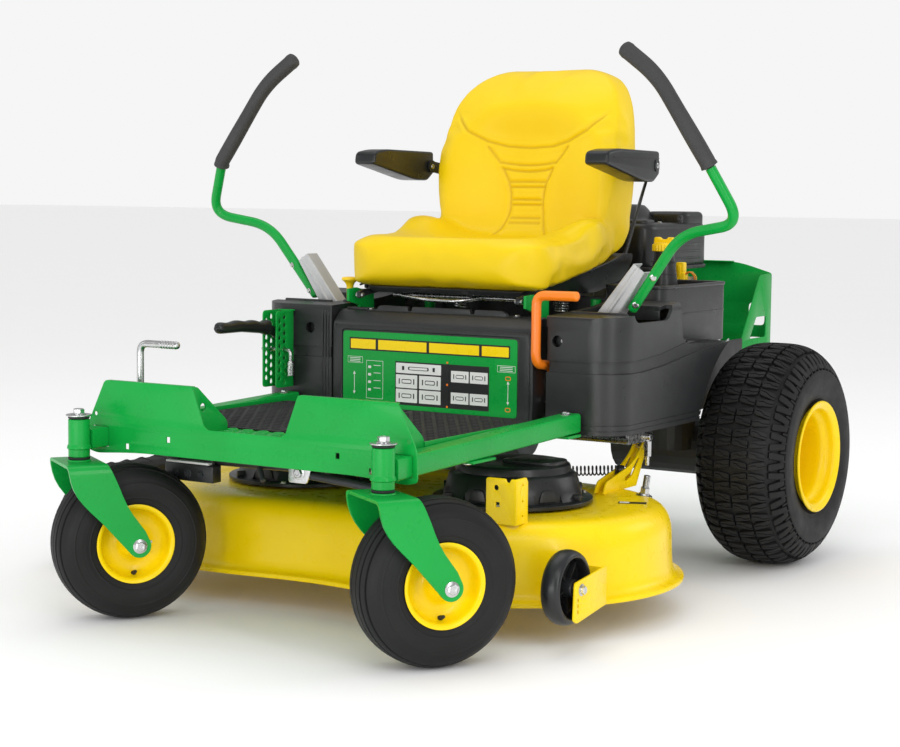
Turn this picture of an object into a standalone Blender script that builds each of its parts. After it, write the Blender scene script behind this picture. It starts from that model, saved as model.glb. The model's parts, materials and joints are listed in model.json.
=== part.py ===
"""Zero-turn riding mower, an assembly of separate named parts, in metres.

+Z is up and the mower drives towards -Y, so the operator's left is +X. All parts hang from the
empty "mower", whose own frame has the rear axle at Y = 0, the centre plane at X = 0 and the
ground at Z = 0. The empty is shifted so that the middle of the whole footprint is the origin.
"""

import math

import bmesh
import bpy
from mathutils import Matrix, Vector

# Footprint: where the rear axle's centre plane lies from the middle of the whole mower.
AXLE_AT = Vector((0.0651, 0.4409, 0.0))

GAP = 0.0003
LEFT, RIGHT = 1, -1
SIDES = ((LEFT, "left"), (RIGHT, "right"))

# Wheels.
REAR_RADIUS = 0.2306
REAR_HALF_TRACK = 0.4755
REAR_HALF_WIDTH = 0.100
REAR_BEAD = 0.1005
AXLE_SHAFT = 0.0125
CASTER_RADIUS = 0.1397
CASTER_HALF_WIDTH = 0.050
CASTER_BEAD = 0.0640
CASTER_TRAIL = 0.0897
CASTER_SWIVEL = math.radians(-33.2)

# Caster stems, front rails and foot deck.
STEM_X, STEM_Y = 0.3246, -1.2422
STEM_BOTTOM, STEM_TOP = 0.2950, 0.3620
STEM_TUBE, STEM_BORE, STEM_PIN = 0.0190, 0.0135, 0.0127
RAIL_SIZE = 0.038
RAIL_FRONT_Z, RAIL_REAR_Z = 0.3244, 0.3420
RAIL_REAR_Y = -0.6155
PANEL_Y = -1.185
SHEET = 0.003
PAN_TOP = 0.3440
FORK_TOP = 0.2874

# Body.
BODY_FRONT = -0.607
WALL = 0.004
CONSOLE = (-0.2285, 0.2345)
CONSOLE_BACK = -0.556
POD_OUTER = 0.415
POD_INNER = {LEFT: 0.262, RIGHT: 0.232}
POD_BOTTOM = 0.3175
ARCH_RADIUS = 0.262
MAIN_RAIL_X = 0.200
SEAT_PIVOT = (-0.575, 0.5600)

# Control levers.
BAR_TUBE = 0.0100
GRIP_TUBE = 0.0155
SWING_AT = (0.320, -0.468, 0.530)
PUSH_Z = 0.455
ARM_X = -0.3425
ARM_PIVOT = (-0.470, 0.400)

# Mower deck.
LOBE_X, LOBE_Y, LOBE_RADIUS = 0.240, -0.685, 0.320
LIP_Z, DECK_TOP = 0.061, 0.200
DECK_SHEET = 0.003
BLADE_Z = 0.078
COVER_RADIUS, COVER_TOP = 0.150, 0.272
LIFT_SHAFT = (-0.450, 0.295)
PEDAL_X, PEDAL_Y = -0.284, -1.125

PARTS = "riding_mower"
HELPERS = "helpers"

GREEN = ("green_paint", (0.010, 0.330, 0.055), 0.35, 0.0)
YELLOW = ("yellow_paint", (0.950, 0.640, 0.010), 0.35, 0.0)
VINYL = ("yellow_vinyl", (0.950, 0.650, 0.005), 0.45, 0.0)
PLASTIC = ("black_plastic", (0.018, 0.019, 0.020), 0.55, 0.0)
RUBBER = ("black_rubber", (0.012, 0.012, 0.012), 0.85, 0.0)
FOAM = ("grip_foam", (0.010, 0.010, 0.011), 0.90, 0.0)
ZINC = ("zinc_steel", (0.620, 0.630, 0.640), 0.30, 1.0)
STEEL = ("grey_steel", (0.420, 0.430, 0.440), 0.45, 0.8)
CASTING = ("cast_housing", (0.060, 0.062, 0.065), 0.60, 0.5)
ALLOY = ("engine_alloy", (0.350, 0.355, 0.360), 0.50, 0.9)
ORANGE = ("orange_coating", (0.900, 0.210, 0.010), 0.40, 0.0)
CAP = ("yellow_plastic", (0.950, 0.620, 0.010), 0.40, 0.0)


# ---------------------------------------------------------------- scene and mesh helpers

def clear_scene():
    for obj in list(bpy.data.objects):
        bpy.data.objects.remove(obj, do_unlink=True)


def collection(name):
    made = bpy.data.collections.new(name)
    bpy.context.scene.collection.children.link(made)
    return made


def material(finish):
    name, colour, roughness, metallic = finish
    made = bpy.data.materials.get(name)
    if made is None:
        made = bpy.data.materials.new(name)
        made.use_nodes = True
        shader = made.node_tree.nodes["Principled BSDF"]
        shader.inputs["Base Color"].default_value = (*colour, 1.0)
        shader.inputs["Roughness"].default_value = roughness
        shader.inputs["Metallic"].default_value = metallic
    return made


def empty(name, parent=None, at=(0, 0, 0), turn_z=0.0):
    made = bpy.data.objects.new(name, None)
    bpy.data.collections[PARTS].objects.link(made)
    made.parent = parent
    made.location = at
    made.rotation_euler = (0, 0, turn_z)
    return made


def place(name, data, finish, parent, at=(0, 0, 0), turn=(0, 0, 0)):
    """A new object in the parts collection."""
    made = bpy.data.objects.new(name, data)
    bpy.data.collections[PARTS].objects.link(made)
    made.parent = parent
    made.location = at
    made.rotation_euler = turn
    data.materials.append(material(finish))
    return made


def helper(obj):
    """Moves an object to the helpers, which are never rendered."""
    bpy.data.collections[PARTS].objects.unlink(obj)
    bpy.data.collections[HELPERS].objects.link(obj)
    obj.hide_render = True
    obj.display_type = "WIRE"
    return obj


def box(name, low, high, finish, parent, bevel=0.0, steps=1):
    """A box between two corners, with its edges rounded by bevel."""
    low, high = Vector(low), Vector(high)
    mesh = bpy.data.meshes.new(name)
    shape = bmesh.new()
    bmesh.ops.create_cube(shape, size=1.0)
    bmesh.ops.scale(shape, vec=high - low, verts=shape.verts)
    shape.to_mesh(mesh)
    shape.free()
    made = place(name, mesh, finish, parent, (low + high) / 2)
    if bevel:
        rounded(made, bevel, steps)
    return made


def rounded(obj, width, steps=1, angle=30.0):
    bevel = obj.modifiers.new("rounding", "BEVEL")
    bevel.width = width
    bevel.segments = steps
    bevel.limit_method = "ANGLE"
    bevel.angle_limit = math.radians(angle)


def cylinder(name, radius, low, high, finish, parent, axis="Z", at=(0, 0), sides=24, top=None):
    """A cylinder or cone from low to high along one axis; at is its place on the other two."""
    mesh = bpy.data.meshes.new(name)
    shape = bmesh.new()
    second = radius if top is None else top
    bmesh.ops.create_cone(shape, cap_ends=True, segments=sides, radius1=radius, radius2=second,
                          depth=high - low)
    shape.to_mesh(mesh)
    shape.free()
    mesh.shade_smooth()
    mesh.set_sharp_from_angle(angle=math.radians(40))
    middle = (low + high) / 2
    spots = {"X": (middle, *at), "Y": (at[0], middle, at[1]), "Z": (*at, middle)}
    turns = {"X": (0, math.pi / 2, 0), "Y": (-math.pi / 2, 0, 0), "Z": (0, 0, 0)}
    return place(name, mesh, finish, parent, spots[axis], turns[axis])


def turned(name, profile, finish, parent, at=(0, 0, 0), axis="Z", sides=32, closed=True):
    """A ring or disc turned from (radius, height) points, which run down its outer side."""
    mesh = bpy.data.meshes.new(name)
    count = len(profile)
    edges = [(i, i + 1) for i in range(count - 1)] + ([(count - 1, 0)] if closed else [])
    mesh.from_pydata([(radius, 0, height) for radius, height in profile], edges, [])
    made = place(name, mesh, finish, parent, at)
    if axis != "Z":
        made.rotation_euler = (0, math.pi / 2, 0) if axis == "X" else (0, -math.pi / 2, 0)
    screw = made.modifiers.new("turning", "SCREW")
    screw.steps = screw.render_steps = sides
    screw.use_merge_vertices = True
    screw.merge_threshold = 0.00001
    screw.use_smooth_shade = True
    return made


def sheet(name, points, thickness, finish, parent, plane="XZ", middle=0.0, bevel=0.0):
    """A flat piece cut to an outline. The plane is XY, XZ or YZ, and middle is its place across."""
    curve = bpy.data.curves.new(name, "CURVE")
    curve.dimensions = "2D"
    curve.fill_mode = "BOTH"
    curve.extrude = thickness / 2 - bevel
    curve.bevel_depth = bevel
    curve.bevel_resolution = 0
    curve.offset = -bevel
    spline = curve.splines.new("POLY")
    spline.points.add(len(points) - 1)
    for point, (u, v) in zip(spline.points, points):
        point.co = (u, v, 0, 1)
    spline.use_cyclic_u = True
    spots = {"XY": (0, 0, middle), "XZ": (0, middle, 0), "YZ": (middle, 0, 0)}
    turns = {"XY": (0, 0, 0), "XZ": (math.pi / 2, 0, 0), "YZ": (math.pi / 2, 0, math.pi / 2)}
    return solid(place(name, curve, finish, parent, spots[plane], turns[plane]))


def tube(name, points, radius, finish, parent, sides=1, at=(0, 0, 0)):
    """A round bar along points, with its ends closed."""
    curve = bpy.data.curves.new(name, "CURVE")
    curve.dimensions = "3D"
    curve.bevel_depth = radius
    curve.bevel_resolution = sides
    curve.use_fill_caps = True
    spline = curve.splines.new("POLY")
    spline.points.add(len(points) - 1)
    for point, spot in zip(spline.points, points):
        point.co = (*spot, 1)
    return solid(place(name, curve, finish, parent, at))


def solid(obj):
    """The mesh of a curve object, with its caps welded on, in the curve's place."""
    bpy.context.view_layer.update()
    graph = bpy.context.evaluated_depsgraph_get()
    mesh = bpy.data.meshes.new_from_object(obj.evaluated_get(graph))
    shape = bmesh.new()
    shape.from_mesh(mesh)
    bmesh.ops.remove_doubles(shape, verts=shape.verts, dist=0.00001)
    bmesh.ops.recalc_face_normals(shape, faces=shape.faces)
    shape.to_mesh(mesh)
    shape.free()
    name, parent, world = obj.name, obj.parent, obj.matrix_world.copy()
    finish = obj.data.materials[0]
    curve = obj.data
    bpy.data.objects.remove(obj, do_unlink=True)
    bpy.data.curves.remove(curve)
    mesh.name = name
    mesh.materials.clear()
    mesh.materials.append(finish)
    made = bpy.data.objects.new(name, mesh)
    bpy.data.collections[PARTS].objects.link(made)
    made.parent = parent
    bpy.context.view_layer.update()
    made.matrix_world = world
    return made


def boolean(obj, other, operation):
    step = obj.modifiers.new(operation.lower(), "BOOLEAN")
    step.operation = operation
    step.solver = "EXACT"
    step.object = helper(other)
    return obj


def join(obj, *others):
    for other in others:
        boolean(obj, other, "UNION")
    return obj


def cut(obj, *others):
    for other in others:
        boolean(obj, other, "DIFFERENCE")
    return obj


def arc(middle, radius, start, end, count):
    """Points along an arc, with angles in degrees."""
    step = (end - start) / (count - 1)
    angles = [math.radians(start + step * i) for i in range(count)]
    return [(middle[0] + radius * math.cos(a), middle[1] + radius * math.sin(a)) for a in angles]


def bend(points, radius, steps=3):
    """The path through points with each inner corner replaced by an arc-like curve."""
    path = [Vector(points[0])]
    for before, corner, after in zip(points, points[1:], points[2:]):
        before, corner, after = Vector(before), Vector(corner), Vector(after)
        start = corner + (before - corner).normalized() * radius
        end = corner + (after - corner).normalized() * radius
        for i in range(steps + 1):
            t = i / steps
            path.append((1 - t) ** 2 * start + 2 * t * (1 - t) * corner + t * t * end)
    path.append(Vector(points[-1]))
    return path


def mirrored(points, side):
    return [(side * x, y, z) for x, y, z in points]


def span(first, second):
    """Low and high of two numbers in either order."""
    return min(first, second), max(first, second)


def side_box(name, side, x, y, z, finish, parent, bevel=0.0):
    """A box given for the left side, made on either side."""
    low, high = span(side * x[0], side * x[1])
    return box(name, (low, y[0], z[0]), (high, y[1], z[1]), finish, parent, bevel)


# ---------------------------------------------------------------- wheels

def tyre_profile(radius, half_width, bead, crown):
    """The closed section of a tyre, from its outer shoulder round to its beads."""
    flank = bead + 0.55 * (radius - bead)
    right = [
        (radius, 0.0),
        (radius - 0.10 * crown, 0.45 * half_width),
        (radius - crown, 0.86 * half_width),
        (flank, half_width),
        (bead + 0.012, 0.90 * half_width),
        (bead, 0.84 * half_width),
    ]
    left = [(r, -h) for r, h in right[1:]]
    return right[::-1] + left


def make_rear_wheel(side, word, mower):
    hub = empty("rear_hub_" + word, mower, (side * REAR_HALF_TRACK, 0, REAR_RADIUS))
    hub.rotation_euler = (0, side * math.pi / 2, 0)
    profile = tyre_profile(REAR_RADIUS, REAR_HALF_WIDTH, REAR_BEAD, 0.030)
    turned("rear_tyre_" + word, profile, RUBBER, hub, sides=32)
    barrel, flange, bore = REAR_BEAD - GAP, 0.1154, AXLE_SHAFT + GAP
    rim = [
        (flange, 0.1010), (flange, 0.0950), (barrel, 0.0930),
        (barrel, -0.0930), (flange, -0.0950), (flange, -0.1010),
        (0.0960, -0.0960), (0.0960, -0.0420), (0.0600, -0.0520), (bore, -0.0520),
        (bore, -0.0220), (0.0450, -0.0220), (0.0620, -0.0360), (0.0880, -0.0200),
        (0.0960, 0.0000), (0.0960, 0.0960),
    ]
    turned("rear_rim_" + word, rim, YELLOW, hub, sides=32)


def make_caster(side, word, mower):
    swivel = empty("caster_swivel_" + word, mower, (side * STEM_X, STEM_Y, 0), CASTER_SWIVEL)
    make_fork(word, swivel)
    make_caster_cap(word, swivel)
    wheel = empty("caster_hub_" + word, swivel, (0, CASTER_TRAIL, CASTER_RADIUS))
    wheel.rotation_euler = (0, math.pi / 2, 0)
    profile = tyre_profile(CASTER_RADIUS, CASTER_HALF_WIDTH, CASTER_BEAD, 0.016)
    turned("caster_tyre_" + word, profile, RUBBER, wheel, sides=28)
    barrel, flange, bore = CASTER_BEAD - GAP, 0.0711, 0.0068
    rim = [
        (flange, 0.0475), (flange, 0.0458), (barrel, 0.0435),
        (barrel, -0.0435), (flange, -0.0458), (flange, -0.0475),
        (0.0600, -0.0420), (0.0520, -0.0200), (0.0220, -0.0280), (0.0200, -0.0600),
        (bore, -0.0600), (bore, 0.0600), (0.0200, 0.0600), (0.0220, 0.0280),
        (0.0520, 0.0200), (0.0600, 0.0420),
    ]
    turned("caster_rim_" + word, rim, YELLOW, wheel, sides=28)
    axle = cylinder("caster_axle_" + word, 0.0065, -0.0790, 0.0790, ZINC, swivel, "X",
                    (CASTER_TRAIL, CASTER_RADIUS), 16)
    heads = [cylinder(f"axle_head_{word}_{i}", 0.0110, *span(e * 0.0723, e * 0.0790), ZINC,
                      swivel, "X", (CASTER_TRAIL, CASTER_RADIUS), 12)
             for i, e in enumerate((LEFT, RIGHT))]
    join(axle, *heads)


def fork_outline():
    """The side view of a fork leg: swept back from the top plate to a round end at the axle."""
    end = arc((CASTER_TRAIL, CASTER_RADIUS), 0.0200, 225, 380, 6)
    front = [(-0.0370, FORK_TOP), (-0.0335, 0.2600), (-0.0245, 0.2350), (-0.0010, 0.2060)]
    rear = [(0.0944, 0.1740), (0.0680, 0.2125), (0.0490, 0.2550), (0.0350, FORK_TOP)]
    return front + end + rear


def make_fork(word, swivel):
    """A bent strap over the wheel, welded to the stem that turns in the rail's tube."""
    outer, inner = 0.0720, 0.0660
    fork = sheet("caster_fork_" + word, fork_outline(), 2 * outer, GREEN, swivel, "YZ")
    rounded(fork, 0.006, 2, 60)
    space = box("fork_space_" + word, (-inner, -0.080, 0.080), (inner, 0.140, FORK_TOP - 0.006),
                GREEN, swivel)
    stem = cylinder("fork_stem_" + word, STEM_PIN, FORK_TOP - 0.003, STEM_TOP + 0.001, GREEN,
                    swivel, sides=20)
    collar = cylinder("fork_collar_" + word, 0.0205, FORK_TOP - 0.003, STEM_BOTTOM - GAP, GREEN,
                      swivel, sides=20)
    hole = cylinder("fork_hole_" + word, 0.0068, -0.100, 0.100, GREEN, swivel, "X",
                    (CASTER_TRAIL, CASTER_RADIUS), 16)
    cut(fork, space, hole)
    join(fork, collar, stem)


def make_caster_cap(word, swivel):
    """The seal, washer and bolt that hold the stem up in its tube."""
    low = STEM_TOP + 0.0013
    cap = cylinder("caster_cap_" + word, 0.0190, low, low + 0.0060, ZINC, swivel, sides=20)
    washer = cylinder("cap_washer_" + word, 0.0230, low + 0.0050, low + 0.0075, ZINC, swivel)
    bolt = cylinder("cap_bolt_" + word, 0.0095, low + 0.0070, low + 0.0190, ZINC, swivel, sides=6)
    join(cap, washer, bolt)


# ---------------------------------------------------------------- frame and foot deck

def rail_z(y):
    """Height of a front rail's middle: it climbs a little towards the rear."""
    along = (y - STEM_Y) / (RAIL_REAR_Y - STEM_Y)
    return RAIL_FRONT_Z + along * (RAIL_REAR_Z - RAIL_FRONT_Z)


def rail_section(extra, front, rear):
    """The side view of a rail between two places, grown by extra on its top and bottom."""
    half = RAIL_SIZE / 2 - 0.001 + extra
    return [(front, rail_z(front) - half), (rear, rail_z(rear) - half),
            (rear, rail_z(rear) + half), (front, rail_z(front) + half)]


def make_front_rail(side, word, mower):
    """A square tube welded to the upright tube that a caster turns in."""
    rail = sheet("front_rail_" + word, rail_section(0, STEM_Y, RAIL_REAR_Y), RAIL_SIZE, GREEN,
                 mower, "YZ", side * STEM_X)
    stem = cylinder("rail_stem_" + word, STEM_TUBE, STEM_BOTTOM, STEM_TOP, GREEN, mower,
                    at=(side * STEM_X, STEM_Y))
    bore = cylinder("rail_bore_" + word, STEM_BORE, 0.25, 0.42, GREEN, mower,
                    at=(side * STEM_X, STEM_Y))
    join(rail, stem)
    cut(rail, bore)


def make_main_frame(mower):
    """Two box rails from the foot deck to the rear guard, with cross members and seat stands."""
    frame = box("main_frame", (-0.345, -0.665, 0.3166), (0.345, -0.6160, 0.3218), GREEN, mower)
    bridge = box("frame_bridge", (-0.225, -0.640, 0.3166), (0.225, -0.560, 0.3218), GREEN, mower)
    pieces = [bridge]
    for side, word in SIDES:
        x = side * MAIN_RAIL_X
        pieces.append(box("main_rail_" + word, (x - 0.019, -0.598, 0.3180),
                          (x + 0.019, 0.4260, 0.3580), GREEN, mower))
        stand = [(-0.550, 0.350), (-0.500, 0.350), (-0.500, 0.560), (-0.560, 0.574),
                 (-0.588, 0.572), (-0.588, 0.548), (-0.550, 0.538)]
        pieces.append(sheet("seat_stand_" + word, stand, 0.006, GREEN, mower, "YZ", side * 0.205))
        pieces.append(cylinder("seat_post_" + word, 0.011, 0.350, 0.5540, GREEN, mower,
                               at=(x, -0.290), sides=12))
        pieces.append(box("engine_foot_" + word, (x - 0.010, 0.0200, 0.3500),
                          (x + 0.010, 0.2400, 0.3640), GREEN, mower))
    for i, y in enumerate((-0.400, 0.000, 0.300)):
        pieces.append(box(f"cross_member_{i}", (-0.200, y, 0.322), (0.200, y + 0.040, 0.354),
                          GREEN, mower))
    join(frame, *pieces)


def panel_outline():
    """Half of the front panel: a foot guard rising beside the low step in the middle."""
    half = [(0.0790, 0.3540), (0.0870, 0.3580), (0.1120, 0.4230), (0.1170, 0.4275),
            (0.3110, 0.4275), (0.3160, 0.4240), (0.3500, 0.3560), (0.3535, 0.3430),
            (0.3535, 0.3000), (0.3330, 0.2950), (0.2400, 0.3020)]
    return half + [(-x, z) for x, z in reversed(half)]


def make_foot_deck(mower):
    """The pressed front panel with its gussets, welded to the floor pan."""
    deck = sheet("foot_deck", panel_outline(), SHEET, GREEN, mower, "XZ", PANEL_Y)
    pieces = [box("floor_pan", (-0.3050, PANEL_Y, PAN_TOP - 0.004), (0.3050, -0.668, PAN_TOP),
                  GREEN, mower)]
    gusset = [(PANEL_Y, 0.4260), (PANEL_Y + 0.010, 0.4260), (PANEL_Y + 0.095, 0.3600),
              (PANEL_Y + 0.095, PAN_TOP - 0.002), (PANEL_Y, PAN_TOP - 0.002)]
    for side, word in SIDES:
        for end, x in (("inner", 0.1135), ("outer", 0.3020)):
            pieces.append(sheet(f"gusset_{word}_{end}", gusset, SHEET, GREEN, mower, "YZ",
                                side * x))
    join(deck, *pieces)
    cut(deck, box("pedal_slot", (PEDAL_X - 0.012, PEDAL_Y - 0.025, 0.330),
                  (PEDAL_X + 0.012, PEDAL_Y + 0.025, 0.350), GREEN, mower))
    for side, word in SIDES:
        window = sheet("rail_window_" + word, rail_section(GAP, PANEL_Y - 0.02, PANEL_Y + 0.02),
                       RAIL_SIZE + 2 * GAP, GREEN, mower, "YZ", side * STEM_X)
        cut(deck, window)


def make_foot_mat(mower):
    """One tread mat from the step to the console."""
    box("foot_mat", (-0.300, -1.080, PAN_TOP + GAP), (0.300, -0.670, PAN_TOP + 0.0055), RUBBER,
        mower, 0.002)


# ---------------------------------------------------------------- body panels

def prism(name, profile, x, finish, parent):
    """A side view in (y, z) stretched between two places across the mower."""
    low, high = span(*x)
    return sheet(name, profile, high - low, finish, parent, "YZ", (low + high) / 2)


def make_console(mower):
    """The upright cover between the pods, open behind and below."""
    low, high = CONSOLE
    shape = [(BODY_FRONT, 0.3260), (BODY_FRONT, 0.5056), (-0.5790, 0.5315), (CONSOLE_BACK, 0.5315),
             (CONSOLE_BACK, 0.3260)]
    hollow = [(BODY_FRONT + WALL, 0.3000), (BODY_FRONT + WALL, 0.5036), (-0.5770, 0.5275),
              (-0.5300, 0.5275), (-0.5300, 0.3000)]
    console = prism("console", shape, CONSOLE, PLASTIC, mower)
    inside = prism("console_inside", hollow, (low + WALL, high - WALL), PLASTIC, mower)
    cut(console, inside)


def pod_profile(inset=0.0):
    """Side view of a pod: level front, a rise to the rear, a low shelf and the wheel arch."""
    lowest = POD_BOTTOM if not inset else POD_BOTTOM - 0.03
    radius = ARCH_RADIUS + inset
    start = 180 - math.degrees(math.asin((0.4710 - inset - REAR_RADIUS) / radius))
    end = 180 - math.degrees(math.asin((POD_BOTTOM - REAR_RADIUS) / radius))
    arch = arc((0, REAR_RADIUS), radius, start, end, 5)
    last = [(arch[-1][0], lowest)] if inset else []
    top = [(BODY_FRONT + inset, lowest), (BODY_FRONT + inset, 0.5240 - inset),
           (BODY_FRONT + 0.008 + inset, 0.5310 - inset), (-0.5200, 0.5370 - inset),
           (-0.3350 - inset, 0.5626 - inset), (-0.3220 - inset, 0.4840 - inset)]
    return top + arch + last


def pod_plan(side, inset=0.0):
    """Plan of a pod: a square inner edge and a rounded outer front corner."""
    inner, outer = POD_INNER[side] + inset, POD_OUTER - inset
    front, rear = BODY_FRONT + inset, 0.02
    corner = arc((outer - 0.065, front + 0.065), 0.065, -90, 0, 6)
    points = [(inner, front)] + corner + [(outer, rear), (inner, rear)]
    return [(side * x, y) for x, y in points]


def pod_section(side, inset=0.0):
    """Section of a pod across the mower: an upright wall that rolls over into the top."""
    outer, inner = POD_OUTER - inset, POD_INNER[side] - 0.01
    points = [(inner, 0.25), (outer, 0.25), (outer, 0.4800), (outer - 0.0080, 0.5070),
              (outer - 0.0260, 0.5310), (outer - 0.0550, 0.5520), (outer - 0.0900, 0.5700),
              (inner, 0.5700)]
    return [(side * x, z) for x, z in points]


def pod_solid(name, side, parent, inset=0.0):
    x = (side * (POD_INNER[side] - 0.01), side * (POD_OUTER + 0.01))
    body = prism(name, pod_profile(inset), x, PLASTIC, parent)
    plan = sheet(name + "_plan", pod_plan(side, inset), 0.60, PLASTIC, parent, "XY", 0.45)
    section = sheet(name + "_section", pod_section(side, inset), 0.80, PLASTIC, parent, "XZ",
                    -0.30)
    boolean(body, plan, "INTERSECT")
    return boolean(body, section, "INTERSECT")


def make_pod(side, word, mower):
    """A moulded fender pod: a shell open below, with a slot for its control lever."""
    pod = pod_solid("fender_" + word, side, mower)
    inside = pod_solid("fender_inside_" + word, side, mower, WALL)
    slot = side_box("lever_slot_" + word, side, (0.276, 0.398), (-0.535, -0.405), (0.50, 0.60),
                    PLASTIC, mower)
    hole = cylinder("pod_hole_" + word, 0.0110, -0.70, BODY_FRONT + 0.02, PLASTIC, mower, "Y",
                    (side * 0.2856, 0.4915), 16)
    cut(pod, inside, slot, hole)
    if side == RIGHT:
        arm_slot = box("arm_slot", (ARM_X - 0.008, -0.700, 0.418), (ARM_X + 0.008, -0.540, 0.512),
                       PLASTIC, mower)
        cut(pod, arm_slot)


def make_fuel_tank(mower):
    """Blow-moulded tank on the left pod's shelf, with its filler neck and cap."""
    tank = box("fuel_tank", (0.228, -0.3160, 0.4880), (0.3600, 0.0000, 0.5850), PLASTIC, mower,
               0.014, 2)
    neck = cylinder("tank_neck", 0.0200, 0.570, 0.6480, PLASTIC, mower, at=(0.252, -0.085))
    join(tank, neck)
    cap = cylinder("fuel_cap", 0.0260, 0.6483, 0.6660, CAP, mower, at=(0.252, -0.085), sides=20)
    wing = box("cap_wing", (0.229, -0.091, 0.660), (0.275, -0.079, 0.6780), CAP, mower)
    join(cap, wing)


def make_battery_box(mower):
    """The moulded battery box on the right pod's shelf."""
    box("battery_box", (-0.3600, -0.3160, 0.4880), (-0.2280, 0.0000, 0.5850), PLASTIC, mower,
        0.014, 2)


# ---------------------------------------------------------------- seat

def make_seat(mower):
    hinge = empty("seat_hinge", mower, (0, *SEAT_PIVOT))
    at = Vector((0, *SEAT_PIVOT))
    pan_view = [(-0.545, 0.5640), (-0.545, 0.5790), (-0.240, 0.6270), (-0.175, 0.6440),
                (-0.1425, 0.6440), (-0.1425, 0.5900), (-0.240, 0.5640)]
    pan = sheet("seat_pan", moved(pan_view, at), 0.380, PLASTIC, hinge, "YZ")
    lugs = [side_box("seat_lug_" + word, side, (0.180, 0.188), (-0.0070, 0.060), (-0.007, 0.012),
                     PLASTIC, hinge) for side, word in SIDES]
    join(pan, *lugs)
    make_cushion(hinge, at)
    make_armrests(hinge, at)


def make_cushion(hinge, at):
    """The moulded seat: a broad base with rounded corners and a back that narrows upwards."""
    base_view = [(-0.560, 0.5825), (-0.600, 0.6080), (-0.600, 0.6480), (-0.575, 0.6720),
                 (-0.245, 0.6900), (-0.245, 0.6300)]
    base = sheet("seat_cushion", moved(base_view, at), 0.476, VINYL, hinge, "YZ")
    half_plan = [(0.2050, -0.2440), (0.2380, -0.3200), (0.2380, -0.4900), (0.2200, -0.5600),
                 (0.1600, -0.6010)]
    plan = half_plan + [(-x, y) for x, y in reversed(half_plan)]
    plan = [(x, y - at.y) for x, y in plan]
    boolean(base, sheet("cushion_plan", plan, 0.60, VINYL, hinge, "XY", 0.10), "INTERSECT")
    back_view = [(-0.290, 0.6500), (-0.262, 0.7000), (-0.250, 0.8600), (-0.205, 0.9800),
                 (-0.150, 1.0390), (-0.110, 1.0400), (-0.085, 0.9800), (-0.115, 0.7200),
                 (-0.160, 0.6500), (-0.240, 0.6300)]
    back = sheet("cushion_back", moved(back_view, at), 0.470, VINYL, hinge, "YZ")
    half_face = [(0.2000, 0.6000), (0.2080, 0.7000), (0.2260, 0.7800), (0.2180, 0.8600),
                 (0.2060, 0.9400), (0.1700, 1.0050), (0.1150, 1.0350), (0.0500, 1.0440)]
    face = half_face + [(-x, z) for x, z in reversed(half_face)]
    face = [(x, z - at.z) for x, z in face]
    boolean(back, sheet("cushion_face", face, 0.60, VINYL, hinge, "XZ", 0.35), "INTERSECT")
    half_round = [(0.1900, -0.3000), (0.2260, -0.2450), (0.2280, -0.1800), (0.1960, -0.1180),
                  (0.1200, -0.0780)]
    around = half_round + [(-x, y) for x, y in reversed(half_round)]
    around = [(x, y - at.y) for x, y in around]
    boolean(back, sheet("cushion_round", around, 0.80, VINYL, hinge, "XY", 0.25), "INTERSECT")
    join(base, back)


def moved(points, at):
    """(y, z) points of the mower's frame, as seen from a joint."""
    return [(y - at.y, z - at.z) for y, z in points]


ARM_HINGE = (-0.222, 0.822)


def make_armrests(hinge, at):
    """A yoke behind the seat back, and an armrest that folds up on each end of it."""
    y, z = ARM_HINGE[0] - at.y, ARM_HINGE[1] - at.z
    low = 0.610 - at.z
    yoke = box("armrest_yoke", (-0.2440, 0.4330, low - 0.015), (0.2440, 0.4390, low + 0.015),
               PLASTIC, hinge)
    for side, word in SIDES:
        arm = side_box("yoke_arm_" + word, side, (0.2390, 0.2440), (y - 0.015, y + 0.015),
                       (low, z + 0.018), PLASTIC, hinge)
        tail = side_box("yoke_tail_" + word, side, (0.2390, 0.2440), (y, 0.4390),
                        (low - 0.015, low + 0.015), PLASTIC, hinge)
        pin = cylinder("yoke_pin_" + word, 0.0060, *span(side * 0.2400, side * 0.2950), PLASTIC,
                       hinge, "X", (y, z), 12)
        join(yoke, arm, tail, pin)
        pivot = empty("armrest_hinge_" + word, hinge, (0, y, z))
        view = [(-0.216, 0.004), (-0.211, 0.027), (-0.170, 0.034), (0.014, 0.032),
                (0.016, -0.014), (-0.008, -0.030), (-0.050, -0.030)]
        rest = sheet("armrest_" + word, view, 0.052, PLASTIC, pivot, "YZ", side * 0.2715)
        rounded(rest, 0.008, 1, 40)
        bore = cylinder("armrest_bore_" + word, 0.0064, *span(side * 0.2400, side * 0.2960),
                        PLASTIC, pivot, "X", (0, 0), 12)
        cut(rest, bore)


# ---------------------------------------------------------------- levers, knobs and pedal

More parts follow.
